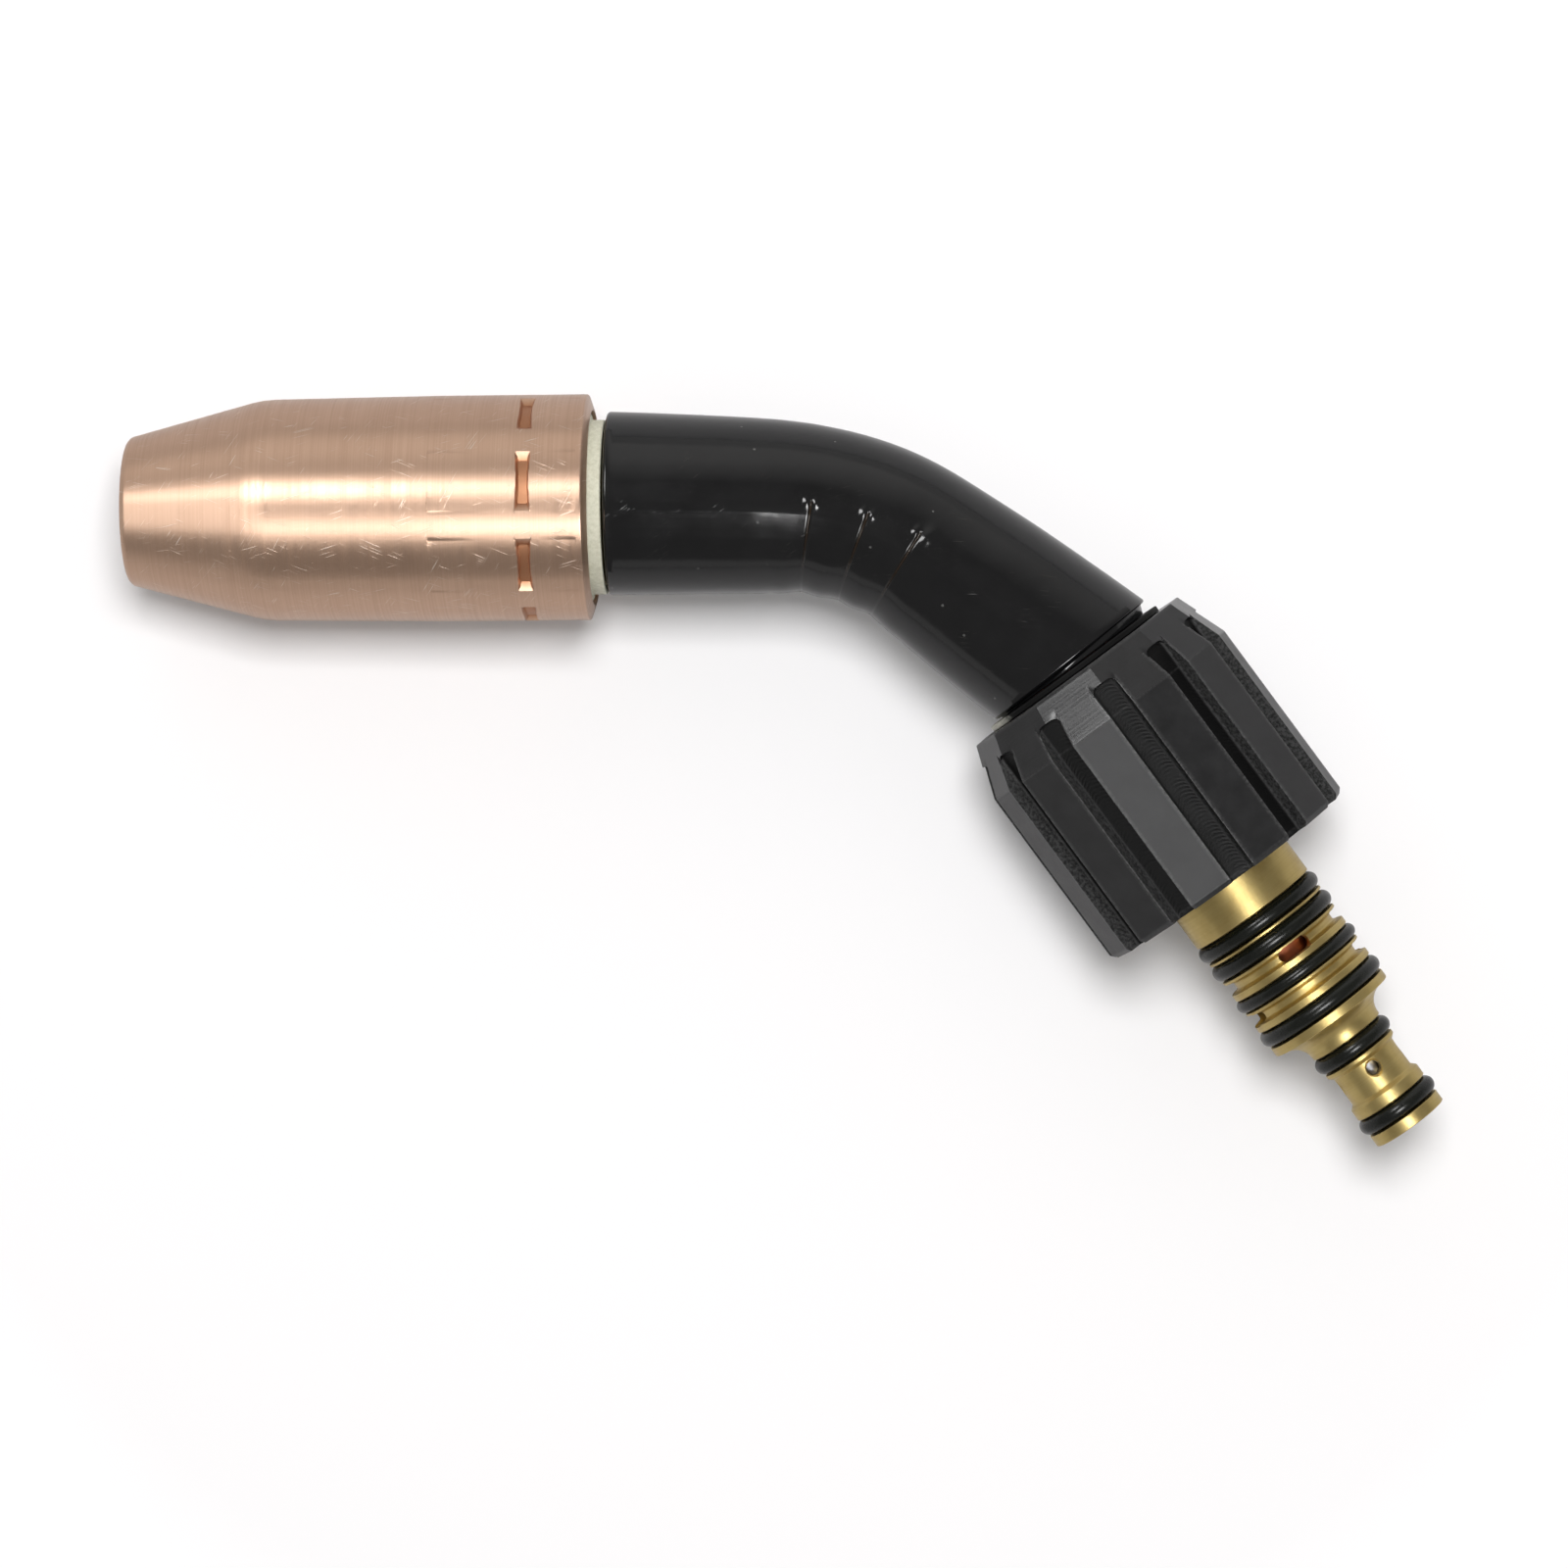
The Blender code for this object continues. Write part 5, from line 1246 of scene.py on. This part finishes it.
class BuildPlug(bpy.types.Operator):
    """Build the brass coupling plug with its grooves, water ports and gas ports."""

    bl_idname = "neck.build_plug"
    bl_label = "Coupling Plug"

    def execute(self, context):
        cfg = context.scene.neck_plug
        corners = cad_section("coupling_plug", PLUG_PLACE, radians(45.0))
        groove_floor = 0.00755
        floors = sorted(z for z, r in corners if abs(r - groove_floor) < 0.00003)
        grooves = [(floors[0] + floors[1]) / 2, (floors[2] + floors[3]) / 2]
        taper_front, taper_rear = 0.0549, 0.0577
        taper = [corner for corner in corners if taper_front <= corner[0] <= taper_rear]
        seals_front, seals_rear = 0.0433, 0.0510

        def radius(z, r):
            if (z, r) in taper[1:]:
                return 0.0030
            return 0.0003 if 0.0074 < r < 0.0080 and seals_front < z < seals_rear else 0.00015

        outline = rounded(corners, radius)
        for middle in grooves:
            outline = densified(outline, middle - 0.0012, middle + 0.0012, 0.00025, 0.0070)
        nipple_front, nipple_rear, nipple_neck = 0.0617, 0.0660, 0.00455
        outline = densified(outline, nipple_front, nipple_rear, 0.0003, 0.0043)
        half_length, half_width = cfg.port_length / 2, cfg.port_width / 2
        cutters = []
        for middle, chamber, angle in ((grooves[0], 0.00575, 0.0), (grooves[1], 0.0045, pi / 2)):
            sections = [(chamber * 0.85, half_length, half_width), (0.0110, half_length, half_width)]
            cutters.append(cutters_round(sections, middle, 2, angle - cfg.port_turn, PLUG_PLACE))
        hole, sink = cfg.gas_port / 2, cfg.gas_port_sink / 2
        over = sink + 0.0002
        sections = [
            (0.0012, hole, hole), (nipple_neck - (sink - hole), hole, hole),
            (nipple_neck + 0.0002, over, over), (0.0060, over, over),
        ]
        cutters.append(cutters_round(sections, 0.0630, 4, -cfg.gas_port_turn, PLUG_PLACE))
        mesh = cut_with(turned_mesh(outline, PLUG_PLACE, 192), cutters)
        finish_piece("coupling_plug_turned", mesh, turned_brass(), "neck", "coupling_plug")
        return {"FINISHED"}


class BuildSeals(bpy.types.Operator):
    """Build the six O-rings of the plug."""

    bl_idname = "neck.build_seals"
    bl_label = "O-Rings"

    def execute(self, context):
        cfg = context.scene.neck_plug
        for number in range(1, 7):
            node = "o_ring_%d" % number
            low, high, _, outer = limits(cad_section(node, PLUG_PLACE))
            mesh = shaped(bpy.data.meshes.new("ring"), ring_tree(), {
                "Outer Diameter": 2 * outer, "Section": min(cfg.ring_section, high - low),
                "Height": (low + high) / 2, "Finish": seal_rubber(),
            })
            mesh.transform(PLUG_PLACE)
            finish_piece(node + "_moulded", mesh, seal_rubber(), "neck", node)
        return {"FINISHED"}


# Each lamp: where it stands, its width and depth, its power, whether it lights surfaces or only shows in
# them, and the one piece that it's kept to
LAMPS = (
    ("key_lamp", (0.03, 0.19, 0.97), 0.32, 0.32, 7.4, True, None),
    ("lamp_far", (-0.42, 0.32, 0.88), 0.30, 0.30, 3.4, False, None),
    ("lamp_near", (0.22, -0.33, 0.90), 0.30, 0.30, 5.4, False, None),
    ("nut_lamp", (-0.42, -0.31, 0.88), 0.26, 0.26, 1.7, False, "union_nut_fluted"),
    ("nozzle_lamp", (-0.58, -0.15, 0.86), 0.60, 0.30, 2.0, False, "gas_nozzle_shell"),
)


class BuildStage(bpy.types.Operator):
    """Build the pale floor, the lamps and the camera."""

    bl_idname = "neck.build_stage"
    bl_label = "Stage"

    def execute(self, context):
        cfg = context.scene.neck_stage
        reach, below = 1.6, -0.00003
        mesh = bpy.data.meshes.new("floor")
        corners = [(x * reach, y * reach, below) for x, y in ((-1, -1), (1, -1), (1, 1), (-1, 1))]
        mesh.from_pydata(corners, [], [(0, 1, 2, 3)])
        mesh.materials.append(floor_paint(cfg))
        new_object("floor", mesh)
        for name, place, wide, deep, power, lights, only in LAMPS:
            data = bpy.data.lights.new(name, "AREA")
            data.shape = "RECTANGLE"
            data.size, data.size_y = wide, deep
            data.energy = power
            lamp = new_object(name, data)
            lamp.location = place
            lamp.rotation_euler = (-Vector(place)).to_track_quat("-Z", "Y").to_euler()
            lamp.visible_camera = False
            lamp.visible_glossy = not lights
            lamp.visible_diffuse = lights
            if only:
                kept_to = bpy.data.collections.new("lit_by_" + name)
                kept_to.objects.link(bpy.data.objects[only])
                lamp.light_linking.receiver_collection = kept_to
        make_world(context.scene)
        sensor, middle_height = 36.0, 0.0165
        data = bpy.data.cameras.new("camera")
        data.sensor_width = sensor
        data.lens = sensor * (cfg.camera_height - middle_height) / cfg.view_width
        data.clip_start = 0.01
        camera = new_object("camera", data)
        camera.location = (cfg.centre_x, cfg.centre_y, cfg.camera_height)
        camera.rotation_euler = (0.0, 0.0, cfg.roll)
        context.scene.camera = camera
        context.scene.view_settings.view_transform = "Standard"
        return {"FINISHED"}


def floor_paint(cfg):
    """White sheet: matt, and lifted towards white for the camera away from the shadows."""
    material, add = new_material("white_sheet")
    camera, through, glossy = (
        add("ShaderNodeLightPath", out="Is %s Ray" % kind) for kind in ("Camera", "Transmission", "Glossy")
    )
    seen = add(MATH, camera, through, operation="MAXIMUM")
    away = add("ShaderNodeVectorMath", add("ShaderNodeTexCoord", out="Object"), operation="LENGTH")
    lift = add(RANGE, away, 0.12, 0.45, 0.08, 0.9)
    return with_shader(
        material, Base_Color=layered(add, cfg.floor, (glossy, 1.0, cfg.reflected)), Roughness=0.9,
        Specular_IOR_Level=0.2, Emission_Color="#FFFFFF",
        Emission_Strength=add(MATH, seen, lift, operation="MULTIPLY"),
    )


def make_world(scene):
    """Soft room light: paler on the far side than on the near side, and white to the camera."""
    world = bpy.data.worlds.new("room")
    world.use_nodes = True
    world.node_tree.nodes.clear()
    add = partial(add_node, world.node_tree)
    coords = add("ShaderNodeTexCoord", out="Generated")
    x, y, z = (add("ShaderNodeSeparateXYZ", coords, out=axis) for axis in "XYZ")
    far = add(RANGE, add(MATH, x, -0.2, y, operation="MULTIPLY_ADD"), 0.45, 0.85)
    colour = layered(
        add, "#8B8A89", (far, 1.0, "#ECEAE8"), (add(RANGE, z, 0.17, 0.20, 1.0, 0.0), 1.0, "#C8C7C6"),
        (add("ShaderNodeLightPath", out="Is Camera Ray"), 1.0, "#FFFFFF"),
    )
    add("ShaderNodeOutputWorld", add("ShaderNodeBackground", colour, 1.0))
    scene.world = world


PIECES = (
    BuildNozzle, BuildNozzleFittings, BuildNeckHead, BuildNeckTubes, BuildSleeve, BuildNut, BuildNutFittings,
    BuildPlug, BuildSeals, BuildStage,
)


class NeckPanel(bpy.types.Panel):
    """Lists the settings and the operators that build the neck."""

    bl_idname = "VIEW3D_PT_torch_neck"
    bl_label = "Torch Neck"
    bl_space_type = "VIEW_3D"
    bl_region_type = "UI"
    bl_category = "Torch Neck"

    def draw(self, context):
        for key, group in SETTINGS.items():
            box = self.layout.box()
            box.label(text=group.__doc__)
            for name in group.__annotations__:
                box.prop(getattr(context.scene, key), name)
        for operator in PIECES:
            self.layout.operator(operator.bl_idname)


def register():
    for kind in (*SETTINGS.values(), *PIECES, NeckPanel):
        bpy.utils.register_class(kind)
    for key, group in SETTINGS.items():
        setattr(bpy.types.Scene, key, bpy.props.PointerProperty(type=group))


def unregister():
    for key in SETTINGS:
        delattr(bpy.types.Scene, key)
    for kind in (NeckPanel, *reversed(PIECES), *reversed(SETTINGS.values())):
        bpy.utils.unregister_class(kind)


def main():
    register()
    for operator in PIECES:
        group, name = operator.bl_idname.split(".")
        getattr(getattr(bpy.ops, group), name)()


if __name__ == "__main__":
    main()
